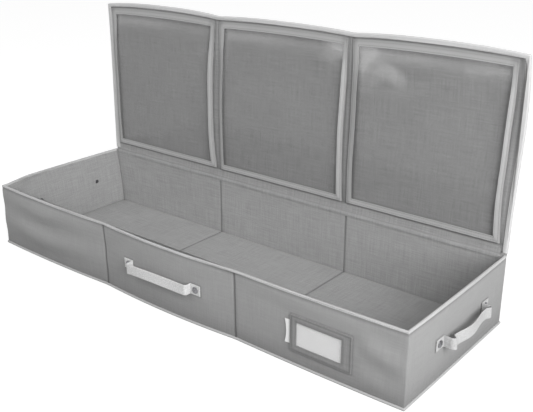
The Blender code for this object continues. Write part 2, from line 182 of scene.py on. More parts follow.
class NodeBoard:
    """The nodes of one material or of the world."""

    def __init__(self, tree: bpy.types.NodeTree) -> None:
        """Starts from an empty tree."""
        self.tree = tree
        tree.nodes.clear()

    def node(self, kind: str, settings: dict | None = None, inputs: dict | None = None) -> bpy.types.Node:
        """Adds a node.

        Args:
            kind: The node's type name.
            settings: Its properties, set before its sockets.
            inputs: Values or links, by socket name or number.

        Returns:
            The node.
        """
        made = self.tree.nodes.new(kind)
        for name, value in (settings or {}).items():
            setattr(made, name, value)
        for name, item in (inputs or {}).items():
            socket = made.inputs[name]
            source = item.socket if isinstance(item, Value) else item
            if isinstance(source, bpy.types.NodeSocket):
                self.tree.links.new(source, socket)
            else:
                socket.default_value = source
        return made

    def noise(self, vector: bpy.types.NodeSocket, scale: float, detail: float = 2.0) -> Value:
        """Noise from 0 to 1 over that vector."""
        made = self.node("ShaderNodeTexNoise", {}, {"Vector": vector, "Scale": scale, "Detail": detail})
        return Value(self, made.outputs["Fac"])

    def stretched(self, vector: bpy.types.NodeSocket, scale: Sequence[float]) -> bpy.types.NodeSocket:
        """The vector, scaled along each axis."""
        made = self.node("ShaderNodeVectorMath", {"operation": "MULTIPLY"}, {0: vector, 1: tuple(scale)})
        return made.outputs[0]

    def parts(self, vector: bpy.types.NodeSocket) -> tuple[Value, Value, Value]:
        """The three numbers of a vector."""
        made = self.node("ShaderNodeSeparateXYZ", {}, {0: vector})
        return tuple(Value(self, out) for out in made.outputs)

    def blend(self, share: Value, dark: Colour, light: Colour) -> bpy.types.NodeSocket:
        """A colour between two, by a share from 0 to 1."""
        made = self.node("ShaderNodeMix", {"data_type": "RGBA"}, {0: share, 6: (*dark, 1), 7: (*light, 1)})
        return made.outputs[2]

    def bump(self, height: Value, depth: float, strength: float) -> bpy.types.NodeSocket:
        """A normal from a height from 0 to 1 that stands for that depth in metres."""
        made = self.node("ShaderNodeBump", {}, {"Strength": strength, "Distance": depth, "Height": height})
        return made.outputs[0]

    def place(self) -> bpy.types.NodeSocket:
        """The point on the piece, in metres."""
        return self.node("ShaderNodeTexCoord").outputs["Object"]

    def cloth(self) -> bpy.types.NodeSocket:
        """The point on the flat cloth, in metres, from the piece's own UV map."""
        return self.node("ShaderNodeUVMap", {"uv_map": "cloth"}).outputs[0]

    def crease_and_painted_light(self) -> Value:
        """The share of painted shade at each point, from the piece's own attribute; on clear sheet the same
        share is a painted highlight.
        """
        return Value(self, self.node("ShaderNodeAttribute", {"attribute_name": "crease_and_painted_light"}).outputs["Fac"])

    def surface(self, inputs: dict) -> None:
        """Links a Principled shader with these inputs to the output."""
        shader = self.node("ShaderNodeBsdfPrincipled", {}, inputs)
        self.node("ShaderNodeOutputMaterial", {}, {"Surface": shader.outputs[0]})


def dimmed(colour: Colour, share: float) -> Colour:
    """The colour times a share."""
    return tuple(c * share for c in colour)


@dataclass(frozen=True)
class Finish:
    """What a piece is made of. A finish makes its material once and then hands out the same one."""

    name: str

    def board(self) -> tuple[bpy.types.Material, NodeBoard]:
        """A new material of this name and its empty board."""
        material = bpy.data.materials.new(self.name)
        material.use_nodes = True
        return material, NodeBoard(material.node_tree)

    def make(self) -> bpy.types.Material:
        """Builds the material."""
        raise NotImplementedError

    def material(self) -> bpy.types.Material:
        """The material, built on first use."""
        return bpy.data.materials.get(self.name) or self.make()


@dataclass(frozen=True)
class WovenCloth(Finish):
    """Plain-woven cloth: threads over and under, slubs along both, and a slow change of shade."""

    colour: Colour = (0.3, 0.3, 0.3)
    thread: float = 0.0012
    depth: float = 0.00022
    gap_shade: float = 0.62
    slub: float = 0.22
    blotch: float = 0.10
    roughness: float = 0.88
    sheen: float = 0.12
    foot_shade: float = 0.0
    crease_shade: float = 0.5

    def make(self) -> bpy.types.Material:
        """Builds the cloth from its flat pattern, so that the threads follow every fold."""
        material, board = self.board()
        flat = board.cloth()
        across, along, _ = board.parts(flat)
        warp = (across * (math.pi / self.thread)).sine()
        weft = (along * (math.pi / self.thread)).sine()
        over = (warp * weft).ramp(-0.25, 0.25)
        weave = over * abs(warp) + (1 - over) * abs(weft)
        slubs = board.noise(board.stretched(flat, (18, 420, 1)), 1.0) + board.noise(
            board.stretched(flat, (420, 18, 1)), 1.0
        )
        blotch = board.noise(flat, 9.0, 4.0) + 0.4 * board.noise(flat, 70.0, 2.0)
        tone = self.gap_shade + (1 - self.gap_shade) * weave
        mean = self.gap_shade + (1 - self.gap_shade) * 0.62
        tone = tone * (1 - self.slub + self.slub * slubs) * (1 - 0.7 * self.blotch + self.blotch * blotch)
        # Painted shade: the cloth is darker towards the floor, by height.
        if self.foot_shade:
            _, _, height = board.parts(board.place())
            tone = tone * (1 - self.foot_shade + self.foot_shade * height.ramp(-0.03, 0.13))
        # Painted shade: darker by the piece's per-point share, marked along seams, stitch lines and edges and
        # under and beside what lies on it.
        tone = tone * (1 - self.crease_shade * board.crease_and_painted_light())
        brightest = 1.5
        inputs = {
            "Base Color": board.blend(tone / brightest, (0, 0, 0), dimmed(self.colour, brightest / mean)),
            "Roughness": self.roughness - 0.1 * weave,
            "Sheen Weight": self.sheen,
            "Sheen Roughness": 0.5,
            "Specular IOR Level": 0.25,
            "Normal": board.bump(weave + 0.35 * slubs, self.depth, 0.7),
        }
        board.surface(inputs)
        return material


@dataclass(frozen=True)
class RibbedTape(Finish):
    """Narrow tape or webbing: close ribs across it, fine lines along it and woven edges."""

    colour: Colour = (0.7, 0.7, 0.7)
    rib: float = 0.0016
    line: float = 0.0011
    depth: float = 0.00025
    shade: float = 0.8
    mottle: float = 0.0
    roughness: float = 0.8
    crease_shade: float = 0.42

    def make(self) -> bpy.types.Material:
        """Builds the tape along its own length, which is the first number of its flat pattern."""
        material, board = self.board()
        flat = board.cloth()
        length, width, _ = board.parts(flat)
        lines = abs((width * (math.pi / self.line)).sine())
        shifted = length + 0.5 * self.rib * (width * (math.pi / self.line)).sine().ramp(-0.1, 0.1)
        ribs = abs((shifted * (math.pi / self.rib)).sine())
        weave = 0.55 * ribs + 0.45 * lines
        dirt = board.noise(board.stretched(flat, (12, 40, 1)), 1.0, 4.0)
        fibre = board.noise(board.stretched(flat, (150, 1400, 1)), 1.0, 2.0)
        tone = self.shade + (1 - self.shade) * weave
        mean = self.shade + (1 - self.shade) * 0.63
        # Painted shade: darker by the piece's per-point share.
        tone = tone * (0.93 + 0.14 * dirt) * (0.95 + 0.1 * fibre) * (1 - self.crease_shade * board.crease_and_painted_light())
        if self.mottle:
            tone = tone * (1 + self.mottle * (board.noise(flat, 420.0, 2.0) - 0.5))
        brightest = 1.3
        inputs = {
            "Base Color": board.blend(tone / brightest, (0, 0, 0), dimmed(self.colour, brightest / mean)),
            "Roughness": self.roughness - 0.12 * weave,
            "Sheen Weight": 0.1,
            "Specular IOR Level": 0.3,
            "Normal": board.bump(weave + 0.25 * fibre, self.depth, 0.75),
        }
        board.surface(inputs)
        return material


@dataclass(frozen=True)
class ClearVinyl(Finish):
    """Clear soft sheet: glossy, slightly hazy, with ripples and faint rub marks, and painted highlights high
    on the lid and in marked bands.
    """

    haze: Colour = (0.6, 0.6, 0.6)
    clearness: float = 0.9
    roughness: float = 0.12

    def make(self) -> bpy.types.Material:
        """Builds the sheet with its haze in Alpha, so that it stays see-through when exported."""
        material, board = self.board()
        place = board.place()
        ripple = board.noise(board.stretched(place, (11, 11, 9)), 1.0, 3.0)
        rubbed = board.noise(board.stretched(place, (9, 9, 15)), 1.0, 3.0).ramp(0.5, 0.78)
        scratch = board.noise(board.stretched(place, (260, 40, 30)), 1.0, 2.0).ramp(0.62, 0.75)
        _, _, height = board.parts(place)
        # Haze and painted highlight: rub marks shown only high on the lid, and the bands that the piece
        # marks.
        haze_and_painted_highlight = rubbed * height.ramp(0.30, 0.48) + 0.9 * board.crease_and_painted_light()
        inputs = {
            "Base Color": board.blend(haze_and_painted_highlight, self.haze, grey(225)),
            "Roughness": self.roughness + 0.12 * rubbed,
            "IOR": 1.53,
            "Specular IOR Level": 0.8,
            "Coat Weight": 0.5,
            "Coat Roughness": 0.08,
            "Alpha": 1 - self.clearness + 0.10 * haze_and_painted_highlight + 0.03 * scratch,
            "Normal": board.bump(ripple + 0.02 * scratch, 0.003, 0.5),
        }
        board.surface(inputs)
        return material


@dataclass(frozen=True)
class PlatedMetal(Finish):
    """Dark nickel plate with fine turning marks and handling wear."""

    colour: Colour = (0.45, 0.45, 0.46)
    roughness: float = 0.32

    def make(self) -> bpy.types.Material:
        """Builds the plate."""
        material, board = self.board()
        place = board.place()
        wear = board.noise(place, 700.0, 4.0)
        fine = board.noise(place, 4200.0, 2.0)
        dull, bright = dimmed(self.colour, 0.62), dimmed(self.colour, 1.25)
        inputs = {
            "Base Color": board.blend(wear.ramp(0.3, 0.75), dull, bright),
            "Metallic": 1.0,
            "Roughness": self.roughness + 0.25 * wear.ramp(0.5, 0.9),
            "Normal": board.bump(fine, 0.00003, 0.6),
        }
        board.surface(inputs)
        return material


@dataclass(frozen=True)
class Card(Finish):
    """Uncoated card or kraft board: pulp fibres, and flute lines where it is corrugated."""

    colour: Colour = (0.7, 0.7, 0.7)
    flute: float = 0.0
    mottle: float = 0.06

    def make(self) -> bpy.types.Material:
        """Builds the card."""
        material, board = self.board()
        place = board.place()
        pulp = board.noise(board.stretched(place, (900, 900, 500)), 1.0, 4.0)
        cloud = board.noise(place, 14.0, 3.0)
        tone = 1 - self.mottle + self.mottle * (pulp + cloud)
        height = pulp
        if self.flute:
            ridge, _, _ = board.parts(place)
            height = 0.3 * pulp + 0.7 * abs((ridge * (math.pi / self.flute)).sine())
        inputs = {
            "Base Color": board.blend(tone / 1.2, (0, 0, 0), dimmed(self.colour, 1.2)),
            "Roughness": 0.78 + 0.12 * pulp,
            "Specular IOR Level": 0.3,
            "Normal": board.bump(height, 0.00006, 0.5),
        }
        board.surface(inputs)
        return material


@dataclass(frozen=True)
class Thread(Finish):
    """Twisted sewing thread."""

    colour: Colour = (0.6, 0.6, 0.6)

    def make(self) -> bpy.types.Material:
        """Builds the thread with its twist as slanted lines."""
        material, board = self.board()
        x, y, z = board.parts(board.place())
        twist = ((x + y + z) * (math.pi / 0.0005)).sine()
        dark, pale = dimmed(self.colour, 0.8), dimmed(self.colour, 1.12)
        inputs = {
            "Base Color": board.blend(0.5 + 0.5 * twist, dark, pale),
            "Roughness": 0.7 - 0.08 * twist,
            "Sheen Weight": 0.2,
            "Normal": board.bump(twist, 0.00004, 0.5),
        }
        board.surface(inputs)
        return material


COVER = WovenCloth("cover_cloth", colour=grey(158), foot_shade=0.20, slub=0.2, crease_shade=0.55)
LINING = WovenCloth("lining_cloth", colour=grey(159), thread=0.0010, gap_shade=0.6, slub=0.42, blotch=0.14)
LABEL_CLOTH = WovenCloth("label_cloth", colour=grey(136), thread=0.0010, gap_shade=0.6, slub=0.3)
FRAME_TAPE = RibbedTape(
    "pocket_tape_cloth", colour=grey(184), rib=0.0009, line=0.0008, depth=0.00015, shade=0.76
)
BINDING_TAPE = RibbedTape("binding_cloth", colour=grey(206), rib=0.0012, line=0.0009, depth=0.00016)
# Painted shade: the rim tape and the piping are darker copies of the binding tape.
SHADED_RIM_TAPE = replace(BINDING_TAPE, name="rim_cloth_painted_shade", colour=grey(189))
SHADED_PIPING_TAPE = replace(BINDING_TAPE, name="piping_cloth_painted_shade", colour=grey(174))
# Painted shade and painted light: the end handles get a darker copy, the front handle a lighter copy, of one
# webbing.
SHADED_WEBBING = RibbedTape(
    "webbing_cloth", colour=grey(190), rib=0.0021, line=0.0013, depth=0.0004, shade=0.78, mottle=0.9
)
LIT_WEBBING = replace(SHADED_WEBBING, name="lit_webbing_cloth", colour=grey(213))
VINYL = ClearVinyl("clear_vinyl_sheet", haze=grey(104), clearness=0.88)
LABEL_VINYL = ClearVinyl("label_vinyl_sheet", haze=grey(225), clearness=0.86)
GUNMETAL = PlatedMetal("rivet_gunmetal", colour=(0.24, 0.24, 0.25))
BLANK_CARD = Card("blank_card", colour=grey(232))
KRAFT = Card("kraft_board", colour=tinted(178, 164, 142), flute=0.0066, mottle=0.12)
PALE_THREAD = Thread("pale_thread", colour=grey(222))
GREY_THREAD = Thread("grey_thread", colour=grey(104))


# Modelling by hand


def close(a: float, b: float) -> bool:
    """True for two places that are the same but for rounding."""
    return abs(a - b) < TOUCH


def square_fold(edge: bmesh.types.BMEdge) -> bool:
    """True for an edge where two faces meet at a right angle."""
    return abs(edge.calc_face_angle(0) - math.pi / 2) < 0.1


class Bench:
    """Modelling with Blender's own operators, one piece at a time."""

    @staticmethod
    def alone(obj: bpy.types.Object) -> None:
        """Selects this piece and nothing else."""
        bpy.ops.object.select_all(action="DESELECT")
        obj.select_set(True)
        bpy.context.view_layer.objects.active = obj

    @staticmethod
    def started(name: str) -> bpy.types.Object:
        """Names the primitive just added and makes its place and size its mesh's own."""
        obj = bpy.context.view_layer.objects.active
        obj.name = obj.data.name = name
        Bench.alone(obj)
        bpy.ops.object.transform_apply(location=True, rotation=True, scale=True)
        return obj

    @staticmethod
    def slab(name: str, low: Sequence[float], high: Sequence[float]) -> bpy.types.Object:
        """A block between two corners, as the start of a piece."""
        low, high = Vector(low), Vector(high)
        bpy.ops.mesh.primitive_cube_add(size=1, location=(low + high) / 2, scale=high - low)
        return Bench.started(name)

    @staticmethod
    def sheet(name: str, low: Sequence[float], high: Sequence[float]) -> bpy.types.Object:
        """A flat sheet between two corners that share one number, as the start of a piece."""
        low, high = Vector(low), Vector(high)
        size = high - low
        upright = size.y < 1e-9
        turn = (math.pi / 2, 0, 0) if upright else (0, 0, 0)
        scale = (size.x, size.z, 1) if upright else (size.x, size.y, 1)
        bpy.ops.mesh.primitive_plane_add(size=1, location=(low + high) / 2, rotation=turn)
        bpy.context.object.scale = scale
        return Bench.started(name)

    @staticmethod
    @contextmanager
    def editing(obj: bpy.types.Object, mode: str = "EDGE") -> Iterator[None]:
        """Edit mode on this piece alone."""
        Bench.alone(obj)
        bpy.ops.object.mode_set(mode="EDIT")
        bpy.ops.mesh.select_mode(type=mode)
        yield
        bpy.ops.object.mode_set(mode="OBJECT")

    @staticmethod
    def pick(obj: bpy.types.Object, kind: str, test: Callable) -> None:
        """Selects the edges or faces that pass a test, in edit mode.

        Args:
            obj: The piece in edit mode.
            kind: "edges" or "faces".
            test: What an edge or a face has to pass.
        """
        bpy.ops.mesh.select_all(action="DESELECT")
        shape = bmesh.from_edit_mesh(obj.data)
        for item in getattr(shape, kind):
            if test(item):
                item.select_set(True)
        shape.select_flush_mode()
        bmesh.update_edit_mesh(obj.data)

    @staticmethod
    def middle(item: bmesh.types.BMEdge | bmesh.types.BMFace) -> Vector:
        """The middle of an edge or a face."""
        return sum((v.co for v in item.verts), Vector()) / len(item.verts)

    @staticmethod
    def round_edges(obj: bpy.types.Object, width: float, steps: int, test: Callable | None = None) -> None:
        """Bevels the edges that pass a test, or all of them."""
        with Bench.editing(obj):
            Bench.pick(obj, "edges", test or (lambda edge: True))
            bpy.ops.mesh.bevel(offset=width, segments=steps, affect="EDGES", clamp_overlap=True)

    @staticmethod
    def cut_at(obj: bpy.types.Object, axis: Axis, places: Sequence[float], drop: int = 0) -> None:
        """Bisects a piece across an axis, and drops what is beyond (1) or before (-1) the place."""
        with Bench.editing(obj):
            for place in places:
                bpy.ops.mesh.select_all(action="SELECT")
                bpy.ops.mesh.bisect(
                    plane_co=axis.point(place),
                    plane_no=axis.point(1),
                    threshold=1e-6,
                    clear_outer=drop > 0,
                    clear_inner=drop < 0,
                )

    @staticmethod
    def refine(obj: bpy.types.Object, target: float, *axes: Axis) -> None:
        """Subdivides the edges that run along each axis, so that none is much longer than the target."""

        def span(edge: bmesh.types.BMEdge, i: int) -> tuple[float, float] | None:
            """Where an edge along axis number i starts and ends, or nothing for another edge."""
            a, b = edge.verts[0].co, edge.verts[1].co
            if sum(abs(a[k] - b[k]) for k in range(3) if k != i) > 2 * TOUCH:
                return None
            return (round(min(a[i], b[i]), 5), round(max(a[i], b[i]), 5))

        for i in (axis.value for axis in axes):
            with Bench.editing(obj):
                shape = bmesh.from_edit_mesh(obj.data)
                spans = {span(edge, i) for edge in shape.edges} - {None}
                for wanted in sorted(s for s in spans if s[1] - s[0] > 1.5 * target):
                    Bench.pick(obj, "edges", lambda edge, wanted=wanted, i=i: span(edge, i) == wanted)
                    bpy.ops.mesh.subdivide(number_cuts=max(1, round((wanted[1] - wanted[0]) / target) - 1))

    @staticmethod
    def pull(obj: bpy.types.Object, way: Sequence[float], test: Callable[[Vector], bool]) -> None:
        """Extrudes the open edges whose middles pass a test."""
        with Bench.editing(obj):
            Bench.pick(obj, "edges", lambda edge: edge.is_boundary and test(Bench.middle(edge)))
            bpy.ops.mesh.extrude_edges_move(TRANSFORM_OT_translate={"value": tuple(way)})

    @staticmethod
    def drop_faces(obj: bpy.types.Object, test: Callable) -> None:
        """Deletes the faces that pass a test."""
        with Bench.editing(obj, "FACE"):
            Bench.pick(obj, "faces", test)
            bpy.ops.mesh.delete(type="FACE")

    @staticmethod
    def on_all(obj: bpy.types.Object, operator: Callable, **settings: object) -> None:
        """Runs a mesh operator on all of a piece."""
        with Bench.editing(obj, "FACE"):
            bpy.ops.mesh.select_all(action="SELECT")
            operator(**settings)

    @staticmethod
    def ring(obj: bpy.types.Object, width: float) -> None:
        """Leaves only a mitred ring of that width along a large sheet's edges."""
        Bench.on_all(obj, bpy.ops.mesh.inset, thickness=width, depth=0)
        Bench.drop_faces(obj, lambda face: face.calc_area() > 0.1)

    @staticmethod
    def raise_all(obj: bpy.types.Object, way: Sequence[float]) -> None:
        """Extrudes a whole sheet and turns its faces outwards."""
        Bench.on_all(obj, bpy.ops.mesh.extrude_region_move, TRANSFORM_OT_translate={"value": way})
        Bench.on_all(obj, bpy.ops.mesh.normals_make_consistent, inside=False)

    @staticmethod
    def apply(obj: bpy.types.Object, kind: str, **settings: float | bool | str) -> None:
        """Adds a modifier and applies it."""
        Bench.alone(obj)
        modifier = obj.modifiers.new(kind.lower(), kind)
        for name, value in settings.items():
            setattr(modifier, name, value)
        bpy.ops.object.modifier_apply(modifier=modifier.name)

    @staticmethod
    def thicken(obj: bpy.types.Object, thickness: float, offset: float = -1.0) -> None:
        """Gives an open sheet its thickness, after its faces are turned outwards."""
        Bench.apply(obj, "SOLIDIFY", thickness=thickness, offset=offset, use_even_offset=True)

    @staticmethod
    def points(obj: bpy.types.Object) -> np.ndarray:
        """The piece's points, one row each."""
        flat = np.empty(len(obj.data.vertices) * 3)
        obj.data.vertices.foreach_get("co", flat)
        return flat.reshape(-1, 3)

    @staticmethod
    def settle(obj: bpy.types.Object, *fields: Field) -> None:
        """Moves the piece's points by each field in turn."""
        points = Bench.points(obj)
        for move in fields:
            points = move(points)
        obj.data.vertices.foreach_set("co", points.ravel())
        obj.data.update()

    @staticmethod
    def crease_and_painted_light(obj: bpy.types.Object, share: np.ndarray) -> None:
        """Adds to each point's share of painted shade, from 0 to 1, for its finish to read; on clear sheet
        the share is a painted highlight.
        """
        layer = obj.data.attributes.get("crease_and_painted_light") or obj.data.attributes.new("crease_and_painted_light", "FLOAT", "POINT")
        before = np.empty(len(obj.data.vertices))
        layer.data.foreach_get("value", before)
        layer.data.foreach_set("value", np.clip(before + share, 0, 1))

    @staticmethod
    def lay_cloth(obj: bpy.types.Object, lengthwise: Axis | None = None) -> None:
        """Writes the flat pattern as the piece's UV map, in metres, each face seen straight on.

        Args:
            obj: The piece, still flat.
            lengthwise: The axis that a tape runs along, or nothing for cloth cut from a roll.
        """
        mesh = obj.data
        while mesh.uv_layers:
            mesh.uv_layers.remove(mesh.uv_layers[0])
        layer = mesh.uv_layers.new(name="cloth")
        points = Bench.points(obj)
        count = len(mesh.loops)
        corner = np.empty(count, int)
        mesh.loops.foreach_get("vertex_index", corner)
        normals = np.empty(len(mesh.polygons) * 3)
        mesh.polygons.foreach_get("normal", normals)
        facing = np.abs(normals.reshape(-1, 3)).argmax(1)
        totals = np.empty(len(mesh.polygons), int)
        mesh.polygons.foreach_get("loop_total", totals)
        facing = np.repeat(facing, totals)
        pairs = np.array([(1, 2), (0, 2), (0, 1)])[facing]
        if lengthwise is not None:
            swap = pairs[:, 1] == lengthwise.value
            pairs[swap] = pairs[swap][:, ::-1]
        rows = points[corner]
        uv = np.stack([rows[np.arange(count), pairs[:, k]] for k in (0, 1)], 1)
        layer.data.foreach_set("uv", uv.ravel())


def hand_over(
    obj: bpy.types.Object,
    finish: Finish,
    body: str,
    stands_for: Sequence[str] = (),
    smooth: float = 35.0,
) -> None:
    """Dresses a finished piece and gives it to the body that it moves with.

    Args:
        obj: The piece.
        finish: What it is made of.
        body: The body that it rides on, or an empty string for none.
        stands_for: The CAD nodes that it replaces.
        smooth: The angle in degrees below which an edge is shaded smooth.
    """
    obj.data.materials.clear()
    obj.data.materials.append(finish.material())
    Bench.alone(obj)
    bpy.ops.object.shade_smooth_by_angle(angle=math.radians(smooth))
    if body:
        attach(obj, body)
    if stands_for:
        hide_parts(*stands_for)
    LOG.info("%s: %d faces, %s", obj.name, len(obj.data.polygons), finish.name)


# How the box gives


def rise(value: np.ndarray, start: float, end: float) -> np.ndarray:
    """0 before start, 1 after end, and smooth between them."""
    share = np.clip((value - start) / (end - start), 0, 1)
    return share * share * (3 - 2 * share)


def line_share(distance: np.ndarray, width: float) -> np.ndarray:
    """1 on a line and less beside it, by the distance from it and its half width."""
    return np.exp(-((distance / width) ** 2))


def outline_share(
    u: np.ndarray, v: np.ndarray, low: Sequence[float], high: Sequence[float], width: float
) -> np.ndarray:
    """1 on a rectangle's outline and less beside it.

    Args:
        u: The points' first numbers on the wall.
        v: Their second numbers.
        low: The rectangle's low corner.
        high: Its high corner.
        width: The line's half width.

    Returns:
        The share of each point.
    """
    off_u = np.abs(u - (low[0] + high[0]) / 2) - (high[0] - low[0]) / 2
    off_v = np.abs(v - (low[1] + high[1]) / 2) - (high[1] - low[1]) / 2
    outside = np.hypot(np.maximum(off_u, 0), np.maximum(off_v, 0))
    return line_share(outside + np.minimum(np.maximum(off_u, off_v), 0), width)


def frame_edges(
    points: np.ndarray, low: Vector, high: Vector, open_low: Vector, open_high: Vector
) -> tuple[np.ndarray, np.ndarray]:
    """How far each point lies inside an upright frame's outer edge, and outside its opening.

    Args:
        points: The points.
        low: The frame's low corner.
        high: Its high corner.
        open_low: The opening's low corner.
        open_high: Its high corner.

    Returns:
        Both distances of each point.
    """
    x, _, z = points.T
    edge = np.minimum(np.minimum(x - low.x, high.x - x), np.minimum(z - low.z, high.z - z))
    off_x = np.maximum(np.maximum(open_low.x - x, x - open_high.x), 0)
    off_z = np.maximum(np.maximum(open_low.z - z, z - open_high.z), 0)
    return edge, np.hypot(off_x, off_z)


@dataclass(frozen=True)
class Pin:
    """A patch of a wall that something holds flat: its middle, its half size and how far it fades out."""

    along: float
    up: float
    half_along: float
    half_up: float
    fade: float

    def hold(self, along: np.ndarray, up: np.ndarray) -> np.ndarray:
        """How firmly each point is held, from 0 to 1."""
        off_along = np.maximum(np.abs(along - self.along) - self.half_along, 0)
        off_up = np.maximum(np.abs(up - self.up) - self.half_up, 0)
        return np.exp(-(off_along**2 + off_up**2) / self.fade**2)


def tab_pin(node: str, axis: Axis) -> Pin:
    """The pin under a handle's tab."""
    low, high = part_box(node)
    middle, half = (low + high) / 2, (high - low) / 2
    return Pin(middle[axis.value], middle.z, half[axis.value], half.z, 0.014)


@dataclass(frozen=True)
class Give:
    """How far the walls and the lid lean, bow and pillow between their seams, in metres."""

    half_length: float = 0.508
    half_depth: float = 0.1725
    height: float = 0.137
    seam: float = 0.16933
    hinge: float = 0.1409
    lid_top: float = 0.4924
    front_bow: tuple[float, float, float] = (0.0038, 0.0072, 0.0020)
    front_lean: float = 0.0040
    front_sag: float = 0.0015
    end_lean: float = 0.0020
    front_pillow: tuple[float, float, float] = (0.0030, 0.0016, 0.0024)
    end_pillow: float = 0.0018
    back_pillow: float = 0.0014
    crease_and_painted_light: tuple[float, float] = (0.0042, -0.0024)
    pinch: float = 0.28
    wall_middle: float = 0.00235
    label_level: float = 0.0026
    left_lean: float = 0.0150
    left_top: float = 0.0118
    lid_bow: tuple[float, float, float, float] = (0.0015, 0.0045, 0.0070, 0.0072)
    lid_side: tuple[float, float, float, float] = (0.0, 0.0, 0.0, 0.0035)
    lid_pillow: float = 0.0010
    lid_crown: tuple[float, float, float] = (0.0080, 0.0050, 0.0065)
    label_pin: Pin = Pin(0.300, 0.062, 0.117, 0.034, 0.016)
    front_pins: tuple[Pin, ...] = tuple(tab_pin(f"front_handle_tab_{end}", Axis.X) for end in ENDS)
    end_pins: tuple[Pin, ...] = tuple(tab_pin(f"right_handle_tab_{end}", Axis.Y) for end in ENDS)

    def third(self, x: np.ndarray) -> tuple[np.ndarray, np.ndarray]:
        """Which of the three boards a point is on, and its place across it from -1 to 1."""
        share = np.clip((x / self.half_length + 1) * 1.5, 0, 2.9999)
        board = share.astype(int)
        return board, (share - board) * 2 - 1

    def loose_front(self, x: np.ndarray, z: np.ndarray) -> np.ndarray:
        """How far the front wall would stand out at each point with nothing to hold it."""
        up = np.clip(z / self.height, 0, 1)
        board, across = self.third(x)
        bow = np.array(self.front_bow)[board] * (1 - across**2)
        lean = self.front_lean * np.cos(np.pi * x / self.half_length / 2) * up**2.2
        swell = np.array(self.front_pillow)[board] * (1 - np.abs(across) ** 3) * np.sin(np.pi * up) ** 0.7
        creased = self.crease_and_painted_light[0] * line_share(x + 0.36, 0.12) + self.crease_and_painted_light[1] * line_share(x - 0.462, 0.035)
        tilt = 0.006 * np.sin(x * 21.0)
        wave = np.cos(2 * np.pi * (z - 0.050 - tilt) / 0.068) * creased * np.sin(np.pi * up)
        return bow + lean + swell + wave

    def loose_end(self, y: np.ndarray, z: np.ndarray) -> np.ndarray:
        """How far an end wall would stand out at each point with nothing to hold it."""
        up = np.clip(z / self.height, 0, 1)
        across = np.clip(y / self.half_depth, -1, 1)
        lean = self.end_lean * np.cos(np.pi * across / 2) * up**2.2
        return lean + self.end_pillow * (1 - np.abs(across) ** 3) * np.sin(np.pi * up) ** 0.7

    @staticmethod
    def held(loose: Callable, pins: Sequence[Pin], along: np.ndarray, up: np.ndarray) -> np.ndarray:
        """A wall's give, levelled under each pin to what it is at the pin's middle."""
        give = loose(along, up)
        for pin in pins:
            level = float(loose(np.array([pin.along]), np.array([pin.up]))[0])
            give = give + (level - give) * pin.hold(along, up)
        return give

    def front(self, x: np.ndarray, z: np.ndarray) -> np.ndarray:
        """How far the front wall stands out at each point."""
        give = self.held(self.loose_front, self.front_pins, x, z)
        return give + (self.label_level - give) * self.label_pin.hold(x, z)

    def end(self, y: np.ndarray, z: np.ndarray) -> np.ndarray:
        """How far an end wall stands out at each point."""
        return self.held(self.loose_end, self.end_pins, y, z)

    def box(self, points: np.ndarray) -> np.ndarray:
        """The field for every layer sewn to the box."""
        x, y, z = points.T
        moved = points.copy()
        at_front = rise(-y, self.half_depth - 0.120, self.half_depth - 0.009)
        at_back = rise(y, self.half_depth - 0.020, self.half_depth - 0.009)
        at_end = rise(np.abs(x), self.half_length - 0.020, self.half_length - 0.009)
        up = np.clip(z / self.height, 0, 1)
        _, across = self.third(x)
        drawn_in = self.pinch * rise(z, self.height - 0.014, self.height - 0.002)
        for axis, reach, row in ((1, self.half_depth, y), (0, self.half_length, x)):
            near = np.abs(row) > reach - 0.008
            middle = np.sign(row) * (reach - self.wall_middle)
            moved[:, axis] -= near * drawn_in * (row - middle) * (row < 0 if axis == 1 else 1)
        moved[:, 1] -= at_front * self.front(x, z)
        moved[:, 2] -= at_front * self.front_sag * np.cos(np.pi * x / self.half_length / 2) * up**3
        moved[:, 1] += at_back * self.back_pillow * (1 - np.abs(across) ** 3) * np.sin(np.pi * up) ** 0.7
        moved[:, 0] += np.sign(x) * at_end * self.end(y, z)
        depth = rise(y, -self.half_depth, -0.085)
        moved[:, 0] -= self.left_lean * rise(-x, self.seam, self.half_length) * depth * up**2
        return moved

    def hinge_line(self, points: np.ndarray) -> np.ndarray:
        """The field for the cloth that runs from the back wall to the lid."""
        moved = points.copy()
        moved[:, 0] -= self.left_lean * rise(-points[:, 0], self.seam, self.half_length)
        return moved

    def lid(self, points: np.ndarray) -> np.ndarray:
        """The field for every layer sewn to the lid, as it stands upright."""
        x, _, z = points.T
        moved = points.copy()
        up = np.clip((z - self.hinge) / (self.lid_top - self.hinge), 0, 1)
        board, across = self.third(x)
        places = (-self.half_length, -self.seam, self.seam, self.half_length)
        bend = np.sin(np.pi * up**1.9) + 0.12 * up**2
        swell = self.lid_pillow * (1 - np.abs(across) ** 3) * np.sin(np.pi * up) ** 0.7
        crown = np.array(self.lid_crown)[board] * (1 - np.abs(across) ** 2.4)
        crown = crown + 0.0014 * np.cos(np.pi * x / self.half_length / 2)
        moved[:, 1] += np.interp(x, places, self.lid_bow) * bend + swell
        moved[:, 2] += crown * up**9
        lean = self.left_lean * (1 - up) + self.left_top * up
        aside = np.interp(x, places, self.lid_side) * bend
        moved[:, 0] += aside - lean * rise(-x, self.seam, self.half_length)
        return moved

    def seams(self, depth: float, axis: Axis, sign: int, width: float = 0.0026) -> Field:
        """A field that draws cloth in between the boards, along both seams.

        Args:
            depth: How deep the seam lies.
            axis: The axis that it goes in along.
            sign: The way along that axis.
            width: Its half width.

        Returns:
            The field.
        """

        def move(points: np.ndarray) -> np.ndarray:
            """Draws the points in."""
            moved = points.copy()
            moved[:, axis.value] += sign * depth * line_share(np.abs(points[:, 0]) - self.seam, width)
            return moved

        return move


